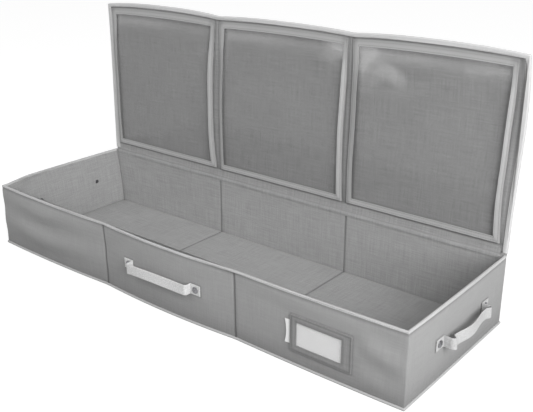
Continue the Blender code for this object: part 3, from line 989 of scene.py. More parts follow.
def ripple(axis: Axis, along: Axis, size: float, length: float, phase: float = 0.0) -> Field:
    """A field that waves a tape's points along one axis as it runs along another."""

    def move(points: np.ndarray) -> np.ndarray:
        """Waves the points by two sines, so that the wave doesn't repeat plainly."""
        moved = points.copy()
        run = points[:, along.value] * 2 * np.pi / length + phase
        moved[:, axis.value] += size * (0.6 * np.sin(run) + 0.4 * np.sin(run * 2.37 + 1.3))
        return moved

    return move


GIVE = Give()
COVER_SEAM = 0.0020  # how deep each stitched seam is drawn in
LINING_SEAM = 0.0011
FLOOR_SEAM = 0.0014
LID_SEAM = 0.0015


# Stitching


@dataclass
class StitchRows:
    """Rows of stitches that make one piece: one stitch is modelled, and each row repeats it."""

    name: str
    finish: Finish
    pitch: float = 0.0042
    length: float = 0.0030
    thread: float = 0.00055
    places: list = field(default_factory=list)

    def row(self, start: Sequence[float], end: Sequence[float], outwards: Sequence[float]) -> None:
        """Adds a straight row on a face, from start to end, sunk a little into the cloth."""
        start, end, up = Vector(start), Vector(end), Vector(outwards).normalized()
        run = (end - start).normalized()
        side = up.cross(run)
        count = max(1, int((end - start).length / self.pitch))
        step = (end - start) / count
        turn = np.array([run, side, up]).T
        for i in range(count):
            middle = start + step * (i + 0.5) + up * self.thread * 0.15
            self.places.append((turn, np.array(middle)))

    def master(self) -> tuple[np.ndarray, list[list[int]]]:
        """One stitch along X, rounded into the cloth at both ends.

        Returns:
            Its points and its faces.
        """
        bpy.ops.mesh.primitive_cylinder_add(
            vertices=6, radius=self.thread / 2, depth=self.length * 0.55, rotation=(0, math.pi / 2, 0)
        )
        obj = Bench.started(self.name + "_one")
        sink = -self.thread * 0.45
        for sign in (-1, 1):
            with Bench.editing(obj, "FACE"):
                Bench.pick(obj, "faces", lambda face, sign=sign: face.normal.x * sign > 0.9)
                reach = (sign * self.length * 0.225, 0, sink)
                bpy.ops.mesh.extrude_region_move(TRANSFORM_OT_translate={"value": reach})
                middle = (sign * self.length / 2, 0, sink)
                bpy.ops.transform.resize(value=(1, 0.45, 0.45), center_override=middle)
        points = Bench.points(obj)
        faces = [list(face.vertices) for face in obj.data.polygons]
        bpy.data.objects.remove(obj)
        return points, faces

    def make(self, slot: str, body: str, *fields: Field) -> None:
        """Copies the stitch into every place and settles the rows with the cloth that they hold."""
        points, faces = self.master()
        rows = np.concatenate([points @ turn.T + middle for turn, middle in self.places])
        count = len(points)
        all_faces = [[v + count * k for v in face] for k in range(len(self.places)) for face in faces]
        mesh = bpy.data.meshes.new(self.name)
        mesh.from_pydata(rows.tolist(), [], all_faces)
        obj = bpy.data.objects.new(self.name, mesh)
        bpy.context.scene.collection.objects.link(obj)
        Bench.settle(obj, *fields)
        hand_over(obj, self.finish, body, smooth=60)


# The box


@dataclass
class BoxShell:
    """The five panels of the box, each an outer cover, boards and a lining."""

    cell: float = 0.0075
    fine_cell: float = 0.0032
    edge: float = 0.00028
    seam_marks: tuple[float, ...] = (0.0012, 0.0026, 0.0042, 0.0062)
    tape_edge: float = 0.1318
    cover_rows: tuple[float, ...] = (0.0045, 0.1295, 0.1318, 0.1335)

    def layer(self, node: str, cell: float, seamed: bool, rows: Sequence[float] = ()) -> bpy.types.Object:
        """One flat layer, cut to its node's size and divided finely enough to give.

        Args:
            node: The CAD node.
            cell: The size of its divisions.
            seamed: Whether both seams run through it.
            rows: Heights that it is cut at as well.

        Returns:
            The piece, still flat, with painted shade along the seams that aren't behind the pockets.
        """
        low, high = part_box(node)
        obj = Bench.slab(node + "_piece", low, high)
        Bench.round_edges(obj, min(self.edge, min(high - low) * 0.4), 2)
        if seamed:
            offs = [off * sign for off in self.seam_marks for sign in (-1, 1)]
            Bench.cut_at(obj, Axis.X, [side * GIVE.seam + off for side in (-1, 1) for off in offs])
            Bench.cut_at(obj, Axis.X, [-GIVE.seam, GIVE.seam])
        Bench.cut_at(obj, Axis.Z, rows)
        Bench.refine(obj, cell, *(axis for axis in Axis if high[axis.value] - low[axis.value] > 3 * cell))
        Bench.lay_cloth(obj)
        # Painted shade along both seam grooves.
        if seamed and node != "lid_lining":
            Bench.crease_and_painted_light(obj, line_share(np.abs(Bench.points(obj)[:, 0]) - GIVE.seam, 0.0021))
        return obj

    def boards(self, nodes: Sequence[str], cell: float, body: str, give: Field) -> None:
        """Makes stiffening boards that ride on one body and give with it."""
        for node in nodes:
            board = self.layer(node, cell, False)
            Bench.settle(board, give)
            hand_over(board, KRAFT, body, [node])

    def shade_wall(self, cover: bpy.types.Object, wall: Wall) -> None:
        """Paints shade on a wall's cover: a shadow line under the rim tape, shade towards its foot, and
        shadow round the outlines of what is sewn on it.
        """
        points = Bench.points(cover)
        i = wall.value[1].value
        run, z = points[:, i], points[:, 2]
        # Painted shadow under the rim tape's lower edge, and painted shade darkening towards the foot.
        share = 0.55 * line_share(z - self.tape_edge, 0.0026) + 0.35 * (1 - rise(z, 0.003, 0.042))
        nodes = [f"{wall.label}_handle_tab_{end}" for end in ENDS] if wall is not Wall.BACK else []
        if wall is Wall.FRONT:
            nodes.append("label_holder")
        for node in nodes:
            low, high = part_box(node)
            # Painted shadow round each tab and round the label holder.
            share += 0.5 * outline_share(run, z, (low[i], low.z), (high[i], high.z), 0.0022)
        Bench.crease_and_painted_light(cover, share)

    def build(self) -> None:
        """Makes the four walls and the base."""
        for wall in Wall:
            name, _, axis, sign = wall.value
            long = wall in (Wall.FRONT, Wall.BACK)
            cover = self.layer(name + "_cover", self.fine_cell, long, self.cover_rows)
            self.shade_wall(cover, wall)
            lining = self.layer(name + "_lining", self.cell, long)
            for piece, depth, way in ((cover, COVER_SEAM, -sign), (lining, LINING_SEAM, sign)):
                if long:
                    Bench.settle(piece, GIVE.seams(depth, axis, way))
                Bench.settle(piece, GIVE.box)
            hand_over(cover, COVER, "box", [name + "_cover"])
            hand_over(lining, LINING, "box", [name + "_lining"])
            nodes = [f"{name}_board_{part}" for part in THIRDS] if long else [name + "_board"]
            self.boards(nodes, 0.014, "box", GIVE.box)
        self.build_base()

    def build_base(self) -> None:
        """Makes the base, whose lining puckers a little along its seams."""
        cover = self.layer("base_cover", 0.02, True)
        Bench.settle(cover, GIVE.seams(0.0004, Axis.Z, 1), GIVE.box)
        hand_over(cover, COVER, "box", ["base_cover"])
        lining = self.layer("base_lining", 0.012, True)
        Bench.settle(lining, GIVE.seams(FLOOR_SEAM, Axis.Z, -1), self.pucker, GIVE.box)
        hand_over(lining, LINING, "box", ["base_lining"])
        self.boards(["base_board_" + part for part in THIRDS], 0.02, "box", GIVE.box)

    @staticmethod
    def pucker(points: np.ndarray) -> np.ndarray:
        """Lets the floor lining rise in soft, low waves between its seams and its edges."""
        x, y, _ = points.T
        _, across = GIVE.third(x)
        inner = np.clip(1 - (np.abs(y) / 0.1675) ** 6, 0, 1) * (1 - np.abs(across) ** 6)
        wave = 0.0004 * np.sin(x * 31 + 2.1 * np.sin(y * 17)) + 0.0002 * np.sin(y * 43)
        moved = points.copy()
        moved[:, 2] += inner * (0.0007 + wave)
        return moved


@dataclass
class EdgeTrims:
    """The tape bound over the rim, the piping round the base, and their stitching."""

    skin: float = 0.0008
    fold: float = 0.0019
    outer_leg: float = 0.0033
    inner_leg: float = 0.0042
    cell: float = 0.008
    stand_off: float = 0.0011
    back_reach: float = 0.0050

    def build(self) -> None:
        """Makes the rim binding, the piping and the stitches."""
        self.build_rim()
        self.build_piping()
        self.build_stitches()

    def build_rim(self) -> None:
        """Folds a tape over the front and end walls: a mitred ring, drawn down on both sides."""
        low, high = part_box("rim_binding")
        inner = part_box("front_lining")[1].y + self.stand_off
        width = inner - low.y
        back = -inner - 0.0003
        obj = Bench.sheet("rim_binding_tape", (low.x, low.y, high.z), (high.x, -low.y, high.z))
        Bench.ring(obj, width)
        Bench.cut_at(obj, Axis.Y, [back], drop=1)

        def outside(middle: Vector) -> bool:
            """True over the walls' outer faces."""
            return abs(middle.x) > high.x - TOUCH or middle.y < low.y + TOUCH

        def inside(middle: Vector) -> bool:
            """True over the walls' inner faces."""
            return close(abs(middle.x), high.x - width) or close(middle.y, inner)

        def at_back(middle: Vector) -> bool:
            """True at the tape's two ends, but not on their inner legs."""
            return close(middle.y, back) and abs(middle.x) > high.x - width + 1e-4

        Bench.pull(obj, (0, 0, -self.outer_leg), outside)
        Bench.pull(obj, (0, 0, -self.inner_leg), inside)
        Bench.pull(obj, (0, self.back_reach, 0), at_back)
        Bench.round_edges(
            obj,
            self.fold,
            4,
            lambda edge: square_fold(edge) and all(v.co.z > high.z - TOUCH for v in edge.verts),
        )
        Bench.refine(obj, self.cell, Axis.X, Axis.Y)
        Bench.thicken(obj, self.skin)
        Bench.lay_cloth(obj, Axis.X)
        Bench.settle(obj, self.soften, GIVE.box)
        hand_over(obj, SHADED_RIM_TAPE, "box", ["rim_binding"], smooth=50)

    @staticmethod
    def soften(points: np.ndarray) -> np.ndarray:
        """Lets the tape's lower edges wander a little, as a sewn tape's do."""
        x, y, z = points.T
        moved = points.copy()
        low = rise(-z, -0.1350, -0.1325)
        run = x * 63 + y * 71
        moved[:, 2] += low * 0.00035 * (np.sin(run) + 0.6 * np.sin(run * 2.7 + 0.8))
        return moved

    def build_piping(self) -> None:
        """Rounds a narrow ring round the foot of the walls."""
        low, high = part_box("base_piping")
        obj = Bench.sheet("base_piping_cord", (low.x, low.y, low.z), (high.x, high.y, low.z))
        Bench.ring(obj, high.x - GIVE.half_length - 0.0002)
        Bench.raise_all(obj, (0, 0, high.z - low.z))
        Bench.round_edges(
            obj,
            0.0022,
            5,
            lambda edge: max(abs(Bench.middle(edge).x) - 0.5095, abs(Bench.middle(edge).y) - 0.174) > 0,
        )
        Bench.refine(obj, 0.012, Axis.X, Axis.Y)
        Bench.lay_cloth(obj, Axis.X)
        Bench.settle(obj, GIVE.box)
        hand_over(obj, SHADED_PIPING_TAPE, "box", ["base_piping"], smooth=50)

    def build_stitches(self) -> None:
        """Sews the rim tape on both faces of the walls, and both seams of each long wall."""
        low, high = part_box("rim_binding")
        rows = StitchRows("rim_stitches", PALE_THREAD)
        height = high.z - self.outer_leg + 0.0012
        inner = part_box("front_lining")[1].y + self.stand_off
        for y, sign in ((low.y, -1), (inner, 1)):
            rows.row((low.x + 0.008, y, height), (high.x - 0.008, y, height), (0, sign, 0))
        end_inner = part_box("right_lining")[0].x - self.stand_off
        start, end = low.y + 0.009, high.y - 0.002
        for side in (-1, 1):
            for x, sign in ((side * high.x, side), (side * end_inner, -side)):
                rows.row((x, start, height), (x, end, height), (sign, 0, 0))
        rows.make("binding", "box", GIVE.box)
        seams = StitchRows("wall_seam_stitches", GREY_THREAD)
        faces = (
            (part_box("front_cover")[0].y, -1, COVER_SEAM),
            (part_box("front_lining")[1].y, 1, LINING_SEAM),
            (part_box("back_cover")[1].y, 1, COVER_SEAM),
            (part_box("back_lining")[0].y, -1, LINING_SEAM),
        )
        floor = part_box("base_lining")[1].z - FLOOR_SEAM
        for x in (-GIVE.seam, GIVE.seam):
            for y, sign, depth in faces:
                face = y - sign * depth
                seams.row((x, face, 0.008), (x, face, 0.128), (0, sign, 0))
            seams.row((x, -0.160, floor), (x, 0.160, floor), (0, 0, 1))
        seams.make("cover_fabric", "box", GIVE.box)


# The lid


@dataclass
class Lid:
    """The stiff lid: cover, boards and lining, a tape round three edges, and the fold that hinges it."""

    cell: float = 0.009
    fine_cell: float = 0.0035
    skin: float = 0.0008
    tape_width: float = 0.0095
    top_trim: float = 0.0020
    fold: float = 0.0020

    def build(self, shell: BoxShell, pockets: Sequence["Pocket"]) -> None:
        """Makes the lid's layers, its tape, its stitches and its hinge fold."""
        cover = shell.layer("lid_cover", self.cell, True)
        Bench.settle(cover, GIVE.seams(LID_SEAM, Axis.Y, -1), GIVE.lid)
        hand_over(cover, COVER, "lid", ["lid_cover"])
        lining = shell.layer("lid_lining", self.fine_cell, True)
        points = Bench.points(lining)
        low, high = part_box("lid_binding")
        # Painted shadow on the lining: a dark line inside the tape along the sides and top, one along the
        # foot by the hinge, and each pocket's painted shade.
        beside = np.abs(points[:, 0]) - high.x + self.tape_width
        under = points[:, 2] - high.z + self.tape_width - self.top_trim
        share = 0.8 * line_share(np.maximum(beside, under) + 0.0010, 0.0020)
        share += 0.8 * line_share(points[:, 2] - low.z - 0.0010, 0.0016)
        Bench.crease_and_painted_light(lining, share + sum(pocket.shade_lining(points) for pocket in pockets))
        Bench.settle(lining, GIVE.seams(LINING_SEAM, Axis.Y, 1, 0.0034), GIVE.lid)
        hand_over(lining, LINING, "lid", ["lid_lining"])
        shell.boards(["lid_board_" + part for part in THIRDS], 0.016, "lid", GIVE.lid)
        self.build_binding()
        self.build_stitches()
        self.build_hinge_fold()

    def build_binding(self) -> None:
        """Folds a tape round the lid's two sides and its top: a mitred ring, drawn back and in again."""
        low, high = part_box("lid_binding")
        foot = low.z
        obj = Bench.sheet("lid_binding_tape", (low.x, low.y, foot - 0.03), (high.x, low.y, high.z))
        Bench.ring(obj, self.tape_width)
        Bench.cut_at(obj, Axis.Z, [foot], drop=-1)
        Bench.raise_all(obj, (0, high.y - low.y, 0))

        def inside(face: bmesh.types.BMFace) -> bool:
            """True for the faces that close the ring towards the lid's middle or at its foot."""
            middle = Bench.middle(face)
            if abs(face.normal.y) > 0.5:
                return False
            return (
                middle.z < foot + TOUCH
                or (abs(face.normal.x) > 0.5 and abs(middle.x) < high.x - 0.005)
                or (face.normal.z < -0.5 and middle.z < high.z - 0.005)
            )

        Bench.drop_faces(obj, inside)
        Bench.round_edges(obj, self.fold, 4, square_fold)
        Bench.refine(obj, 0.009, Axis.X, Axis.Z)
        Bench.thicken(obj, self.skin)
        Bench.lay_cloth(obj, Axis.X)
        # Painted shade on the tape: darker towards its inner edge, less so on the left side.
        x, _, z = Bench.points(obj).T
        inward = np.minimum(high.x - np.abs(x), high.z - z)
        Bench.crease_and_painted_light(obj, 0.5 * rise(inward, 0.003, self.tape_width) * np.where(x < -0.49, 0.4, 1.0))
        Bench.settle(obj, self.soften, GIVE.lid)
        hand_over(obj, BINDING_TAPE, "lid", ["lid_binding"], smooth=50)

    def soften(self, points: np.ndarray) -> np.ndarray:
        """Lets the tape puff and wander a little along its length, narrower along the top."""
        x, y, z = points.T
        moved = points.copy()
        run = x * 47 + z * 59
        wave = np.sin(run) + 0.7 * np.sin(run * 2.3 + 1.1)
        on_top = rise(z, 0.478, 0.486)
        moved[:, 2] += (1 - on_top) * rise(z, 0.470, 0.480) * 0.0004 * wave
        moved[:, 2] += self.top_trim * rise(z, 0.4790, 0.4828) * (1 - rise(z, 0.4832, 0.4900))
        moved[:, 1] += np.where(y < 0.1748, -0.00005, 0.00025) * (1 + np.sin(run * 1.7))
        up = np.clip((z - GIVE.hinge) / (GIVE.lid_top - GIVE.hinge), 0, 1)
        wider = np.where(x < 0, 0.0050 - 0.0025 * up, 0.0015 + 0.0026 * rise(up, 0.45, 0.60))
        inner_edge = (1 - rise(np.abs(x), 0.4985, 0.5060)) * rise(np.abs(x), 0.4965, 0.4980)
        moved[:, 0] += inner_edge * wider * (1 - on_top)
        return moved

    def build_stitches(self) -> None:
        """Sews the tape through the lid, and the lid's two seams."""
        low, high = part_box("lid_binding")
        tape = StitchRows("lid_stitches", PALE_THREAD)
        seam = self.tape_width - 0.0020
        for y, sign in ((low.y - 0.0003, -1), (high.y + 0.0003, 1)):
            top = high.z - seam + self.top_trim
            tape.row((low.x + seam, y, top), (high.x - seam, y, top), (0, sign, 0))
            for side in (-1, 1):
                x = side * (high.x - seam)
                tape.row((x, y, low.z + 0.003), (x, y, top - 0.002), (0, sign, 0))
        tape.make("binding", "lid", GIVE.lid)
        seams = StitchRows("lid_seam_stitches", GREY_THREAD)
        cover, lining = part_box("lid_cover")[1].y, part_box("lid_lining")[0].y
        for x in (-GIVE.seam, GIVE.seam):
            for y, sign, depth in ((cover, 1, LID_SEAM), (lining, -1, LINING_SEAM)):
                seams.row((x, y - sign * depth, 0.150), (x, y - sign * depth, 0.482), (0, sign, 0))
        seams.make("cover_fabric", "lid", GIVE.lid)

    def build_hinge_fold(self) -> None:
        """Runs the cover cloth on from the back wall to the lid, and the lining cloth inside it."""
        outer = [(0.1731, 0.1290), (0.1731, 0.1345), (0.1736, 0.1372), (0.1752, 0.1393), (0.1772, 0.1415)]
        outer += [(0.1779, 0.1445), (0.1779, 0.1500)]
        inner = [(0.1672, 0.1290), (0.1671, 0.1345), (0.1680, 0.1369), (0.1706, 0.1386), (0.1716, 0.1405)]
        inner += [(0.1719, 0.1440), (0.1720, 0.1500)]
        self.fold_cloth("hinge_fold_cloth", outer, COVER, "cover_fabric", 0.5080, ["hinge_welt"])
        self.fold_cloth("hinge_fold_lining", inner, LINING, "lining_fabric", 0.4965, [])

    @staticmethod
    def fold_cloth(
        name: str,
        line: Sequence[tuple[float, float]],
        finish: Finish,
        slot: str,
        reach: float,
        nodes: Sequence[str],
    ) -> None:
        """Extrudes a strip of cloth along a line seen from the end, and ripples and leans it across the
        hinge.

        Args:
            name: The piece's name.
            line: The points it runs through, each its Y and Z.
            finish: Its cloth.
            slot: Not used.
            reach: Its half length along X.
            nodes: The CAD nodes that it stands for.
        """
        first, second = line[0], line[1]
        obj = Bench.sheet(name, (-reach, first[0], first[1]), (reach, first[0], second[1]))
        for (y0, z0), (y1, z1) in zip(line[1:], line[2:]):
            Bench.pull(obj, (0, y1 - y0, z1 - z0), lambda middle, z0=z0: close(middle.z, z0))
        Bench.refine(obj, 0.012, Axis.X)
        Bench.on_all(obj, bpy.ops.mesh.normals_make_consistent, inside=False)
        Bench.thicken(obj, 0.0006, 0.0)
        Bench.apply(obj, "SUBSURF", levels=1, render_levels=1)
        Bench.lay_cloth(obj)
        # Painted shade on the hinge lining: a little all over and a dark line along its fold.
        if not nodes:
            Bench.crease_and_painted_light(obj, 0.16 + 0.4 * line_share(Bench.points(obj)[:, 2] - 0.1385, 0.0016))
        Bench.settle(obj, ripple(Axis.Y, Axis.X, 0.00022, 0.071), GIVE.hinge_line)
        hand_over(obj, finish, "", nodes, smooth=60)
        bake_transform(obj)


@dataclass(frozen=True)
class Stray:
    """How far an upright line of a pocket strays along X, in millimetres, at its foot, middle and top."""

    foot: float
    middle: float
    top: float

    def at(self, up: np.ndarray) -> np.ndarray:
        """The stray in metres at each height from 0 to 1."""
        bend = self.middle - (self.foot + self.top) / 2
        return MILLI * (self.foot * (1 - up) + self.top * up + 4 * bend * up * (1 - up))


@dataclass
class Pocket:
    """A clear pocket on the lid: a tape frame, hemmed and open at the top, with a window of clear sheet.

    Its four upright lines are the frame's outer left edge, its inner left edge, and the same on the right.
    """

    part: str
    lines: tuple[Stray, Stray, Stray, Stray]
    tape: float = 0.00095
    foot: float = 0.010
    hem: float = 0.0130
    hem_step: float = 0.0021
    roll: float = 0.0014
    cell: float = 0.008
    mouth: float = 0.0022
    arch: float = 0.0004
    hang: float = 0.65
    top_reach: float = 0.0062
    window_reach: float = 0.0045
    flat: float = 0.5
    laid_flat: float = 0.12
    laid_from: float = 0.3950
    laid_to: float = 0.4680
    laid_aside: float = 0.0025
    swell: float = 0.0003
    press: float = 0.00025
    # Share of painted shade on the lining between this pocket and the next.
    gap_shade: float = 0.35
    stitch_far: float = 0.0036
    stitch_near: float = 0.0022
    marks: tuple[float, ...] = (0.0022, 0.0036, 0.0050, 0.0075, 0.0099, 0.0114, 0.0128, 0.0140)

    def __post_init__(self) -> None:
        """Reads the frame's and the window's places."""
        self.low, self.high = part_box("pocket_frame_" + self.part)
        self.high.z += self.top_reach
        self.pane_low, self.pane_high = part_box("pocket_window_" + self.part)
        self.pane_high.z += self.window_reach
        lap = 0.006
        self.open_low = self.pane_low + Vector((lap, 0, lap))
        self.open_high = self.pane_high - Vector((lap, 0, lap))

    def up(self, z: np.ndarray) -> np.ndarray:
        """Each height as a share of the pocket's, from 0 to 1."""
        return np.clip((z - self.low.z) / (self.high.z - self.low.z), 0, 1)

    def edges(self, points: np.ndarray) -> tuple[np.ndarray, np.ndarray]:
        """How far each point lies inside the frame's outer edge, and outside its opening."""
        return frame_edges(points, self.low, self.high, self.open_low, self.open_high)

    def shade_lining(self, points: np.ndarray) -> np.ndarray:
        """How much painted shade the lid's lining gets under and beside this pocket, between it and the next,
        and behind its window's edges.
        """
        x, _, z = points.T
        up = self.up(z)
        left, inner_left, inner_right, right = (
            x - place - line.at(up)
            for place, line in zip((self.low.x, self.open_low.x, self.open_high.x, self.high.x), self.lines)
        )
        beside = rise(z, self.low.z - 0.002, self.low.z + 0.002)
        lines = line_share(left + 0.0012, 0.0028) + line_share(right - 0.0012, 0.0028)
        gap = (right > 0) * (1 - rise(right, 0.004, 0.020)) * (1 - 0.7 * rise(up, 0.7, 0.95))
        near = (x > self.low.x - 0.01) * (x < self.high.x + 0.01)
        foot = line_share(z - self.low.z + 0.0016, 0.0022) * near
        behind = (inner_left > -0.015) * (inner_right < 0)
        behind = behind * (z < self.open_high.z) * (z > self.open_low.z - 0.006)
        pane = 0.5 * line_share(inner_left + 0.004, 0.005) + 0.2 * line_share(inner_left + 0.004, 0.016)
        pane += 0.5 * line_share(inner_right + 0.0065, 0.003)
        pane += 0.3 * line_share(z - self.open_low.z + 0.003, 0.003)
        pane += 0.8 * line_share(z - self.open_high.z - self.arch + 0.004, 0.003)
        return 0.75 * foot + beside * (0.7 * lines + self.gap_shade * gap) + behind * pane

    def pad(self, points: np.ndarray) -> np.ndarray:
        """Presses the tape down along its stitches and lets it swell between them."""
        edge, inner = self.edges(points)
        front = rise(self.high.y - points[:, 1], 0.0055, 0.0070)
        press = line_share(edge - self.stitch_far, 0.0011) + line_share(inner - self.stitch_near, 0.0011)
        swell = np.sin(np.pi * np.clip((edge - self.stitch_far) / 0.0092, 0, 1))
        moved = points.copy()
        moved[:, 1] += front * (self.press * press - self.swell * swell)
        return moved

    def drape(self, points: np.ndarray) -> np.ndarray:
        """Lays the sewn edges down, lets the sides wander and the sheet swell a little.

        The mouth lies flat on the lid, so that it clears the front wall's rim when the lid is shut.
        """
        low, high = self.low, self.high
        x, y, z = points.T
        moved = points.copy()
        across = (x - low.x) / (high.x - low.x) * 2 - 1
        up = self.up(z)
        front = np.clip((high.y - y) / (high.y - low.y), 0, 1)
        sewn = np.minimum(np.minimum(x - low.x, high.x - x), z - low.z)
        laid = rise(z, self.laid_from, self.laid_to)
        stand = self.flat + (1 - self.flat) * rise(sewn, 0.0, 0.035)
        stand += (self.laid_flat - stand) * laid
        swell = self.mouth * (1 - np.abs(across) ** 2.5) * up**3
        belly = 0.0011 * (1 - across**4) * np.sin(np.pi * up)
        phase = low.x * 9
        buckle = 0.0005 * np.sin(x * 41 + phase) * np.sin(z * 33 + phase) * (1 - across**6)
        behind = self.hang * rise(sewn, 0.0, 0.030) * (GIVE.lid(points)[:, 1] - y)
        moved[:, 1] = high.y - (high.y - y) * stand - front * (1 - laid) * (swell + belly + buckle + behind)
        places = (low.x, self.open_low.x, self.open_high.x, high.x)
        shares = [np.interp(x, places, row) for row in np.eye(4)]
        stray = sum(share * line.at(up) for share, line in zip(shares, self.lines))
        wander = 0.0005 * np.sin(z * 41 + phase) * np.sin(np.pi * up) ** 0.5
        moved[:, 0] += stray + wander - self.laid_aside * laid
        moved[:, 2] += self.arch * (1 - np.abs(np.clip(across, -1, 1)) ** 2.4) * up**5
        return moved

    def build(self) -> None:
        """Makes the frame, the window and the stitching."""
        self.build_frame()
        self.build_window()
        self.build_stitches()

    def build_frame(self) -> None:
        """Cuts a tape ring, turns its sides and foot back to the lid, and folds its hem over the mouth."""
        low, high = self.low, self.high
        obj = Bench.sheet(f"pocket_frame_{self.part}_tape", (low.x, low.y, low.z), (high.x, low.y, high.z))
        Bench.cut_at(obj, Axis.X, [self.open_low.x, self.open_high.x])
        Bench.cut_at(obj, Axis.Z, [self.open_low.z, self.open_high.z])
        Bench.drop_faces(obj, lambda face: face.calc_area() > 0.02)
        back = high.y - low.y - 0.0001
        Bench.pull(
            obj,
            (0, back, 0),
            lambda middle: close(middle.x, low.x) or close(middle.x, high.x) or close(middle.z, low.z),
        )
        far = low.y + back
        folds = (
            (lambda middle: close(middle.x, low.x), (self.foot, 0, 0)),
            (lambda middle: close(middle.x, high.x), (-self.foot, 0, 0)),
            (lambda middle: close(middle.z, low.z), (0, 0, self.foot)),
        )
        for test, way in folds:
            Bench.pull(obj, way, lambda middle, test=test: close(middle.y, far) and test(middle))
        hem_y = low.y + self.hem_step
        Bench.pull(
            obj, (0, self.hem_step, 0), lambda middle: close(middle.z, high.z) and close(middle.y, low.y)
        )
        Bench.pull(obj, (0, 0, -self.hem), lambda middle: close(middle.z, high.z) and close(middle.y, hem_y))
        Bench.on_all(obj, bpy.ops.mesh.remove_doubles, threshold=TOUCH)
        Bench.round_edges(
            obj,
            self.roll,
            3,
            lambda edge: (
                square_fold(edge)
                and close(Bench.middle(edge).y, low.y)
                and abs(Bench.middle(edge).z - high.z) > 1e-4
            ),
        )
        rows = [mark for mark in self.marks if mark < high.z - self.open_high.z - 0.0008]
        for axis, marks, start, end in ((Axis.X, self.marks, low.x, high.x), (Axis.Z, rows, low.z, high.z)):
            Bench.cut_at(obj, axis, [start + mark for mark in marks] + [end - mark for mark in marks])
        Bench.refine(obj, self.cell, Axis.X, Axis.Z)
        Bench.thicken(obj, self.tape)
        Bench.lay_cloth(obj, Axis.X)
        x, _, z = Bench.points(obj).T
        edge, inner = self.edges(Bench.points(obj))
        # Painted shade on the tape: along its stitch lines and outer edge, towards the outer edge of its left
        # side, towards the top of its hem, and over its right side.
        lines = line_share(edge - self.stitch_far, 0.0010) + line_share(inner - self.stitch_near, 0.0010)
        at_left = (x < self.open_low.x + 0.001) * (1 - rise(x - low.x, 0.004, 0.015))
        at_top = (z > self.open_high.z - 0.001) * rise(z, self.open_high.z, high.z)
        at_right = x > self.open_high.x - 0.001
        beside = 0.5 * at_left + 0.4 * at_top + 0.3 * at_right
        Bench.crease_and_painted_light(obj, 0.3 * lines + 0.4 * line_share(edge, 0.0012) + beside)
        Bench.settle(obj, self.pad, self.drape, GIVE.lid)
        hand_over(obj, FRAME_TAPE, "lid", ["pocket_frame_" + self.part], smooth=50)

    def build_window(self) -> None:
        """Cuts the clear sheet, hazy and with a painted highlight along its left side and its top, and lets
        it swell with the pocket.
        """
        obj = Bench.slab(f"pocket_window_{self.part}_sheet", self.pane_low, self.pane_high)
        Bench.round_edges(obj, 0.00012, 1)
        Bench.refine(obj, 0.006, Axis.X, Axis.Z)
        Bench.lay_cloth(obj)
        x, _, z = Bench.points(obj).T
        # Haze and painted highlight: a lighter band below the top of the opening, fading to the right, and
        # one along its left side.
        left, top = x - self.open_low.x, self.open_high.z - z
        near = 0.75 * line_share(top - 0.012, 0.013) * rise(left, 0.004, 0.016)
        near = near * (1 - 0.45 * rise(left, 0.10, 0.22))
        Bench.crease_and_painted_light(obj, near + 0.4 * line_share(left - 0.010, 0.007) * rise(z, 0.30, 0.42))
        Bench.settle(obj, self.drape, GIVE.lid)
        hand_over(obj, VINYL, "lid", ["pocket_window_" + self.part])

    def build_stitches(self) -> None:
        """Sews the tape twice round: beside the window, and along its outer edge."""
        low, high = self.low, self.high
        rows = StitchRows(f"pocket_{self.part}_stitches", GREY_THREAD, pitch=0.0045)
        face = low.y
        out = (0, -1, 0)
        near, far = self.stitch_near, self.stitch_far
        left, right = self.open_low.x - near, self.open_high.x + near
        foot, top = self.open_low.z - near, self.open_high.z + near
        rows.row((left, face, top), (right, face, top), out)
        rows.row((left, face, foot), (right, face, foot), out)
        rows.row((left, face, foot), (left, face, top), out)
        rows.row((right, face, foot), (right, face, top), out)
        foot, left, right, top = low.z + far, low.x + far, high.x - far, high.z - 0.003
        rows.row((left, face, foot), (right, face, foot), out)
        rows.row((left, face, foot), (left, face, top), out)
        rows.row((right, face, foot), (right, face, top), out)
        rows.make("pocket_tape", "lid", self.pad, self.drape, GIVE.lid)


# Handles and label


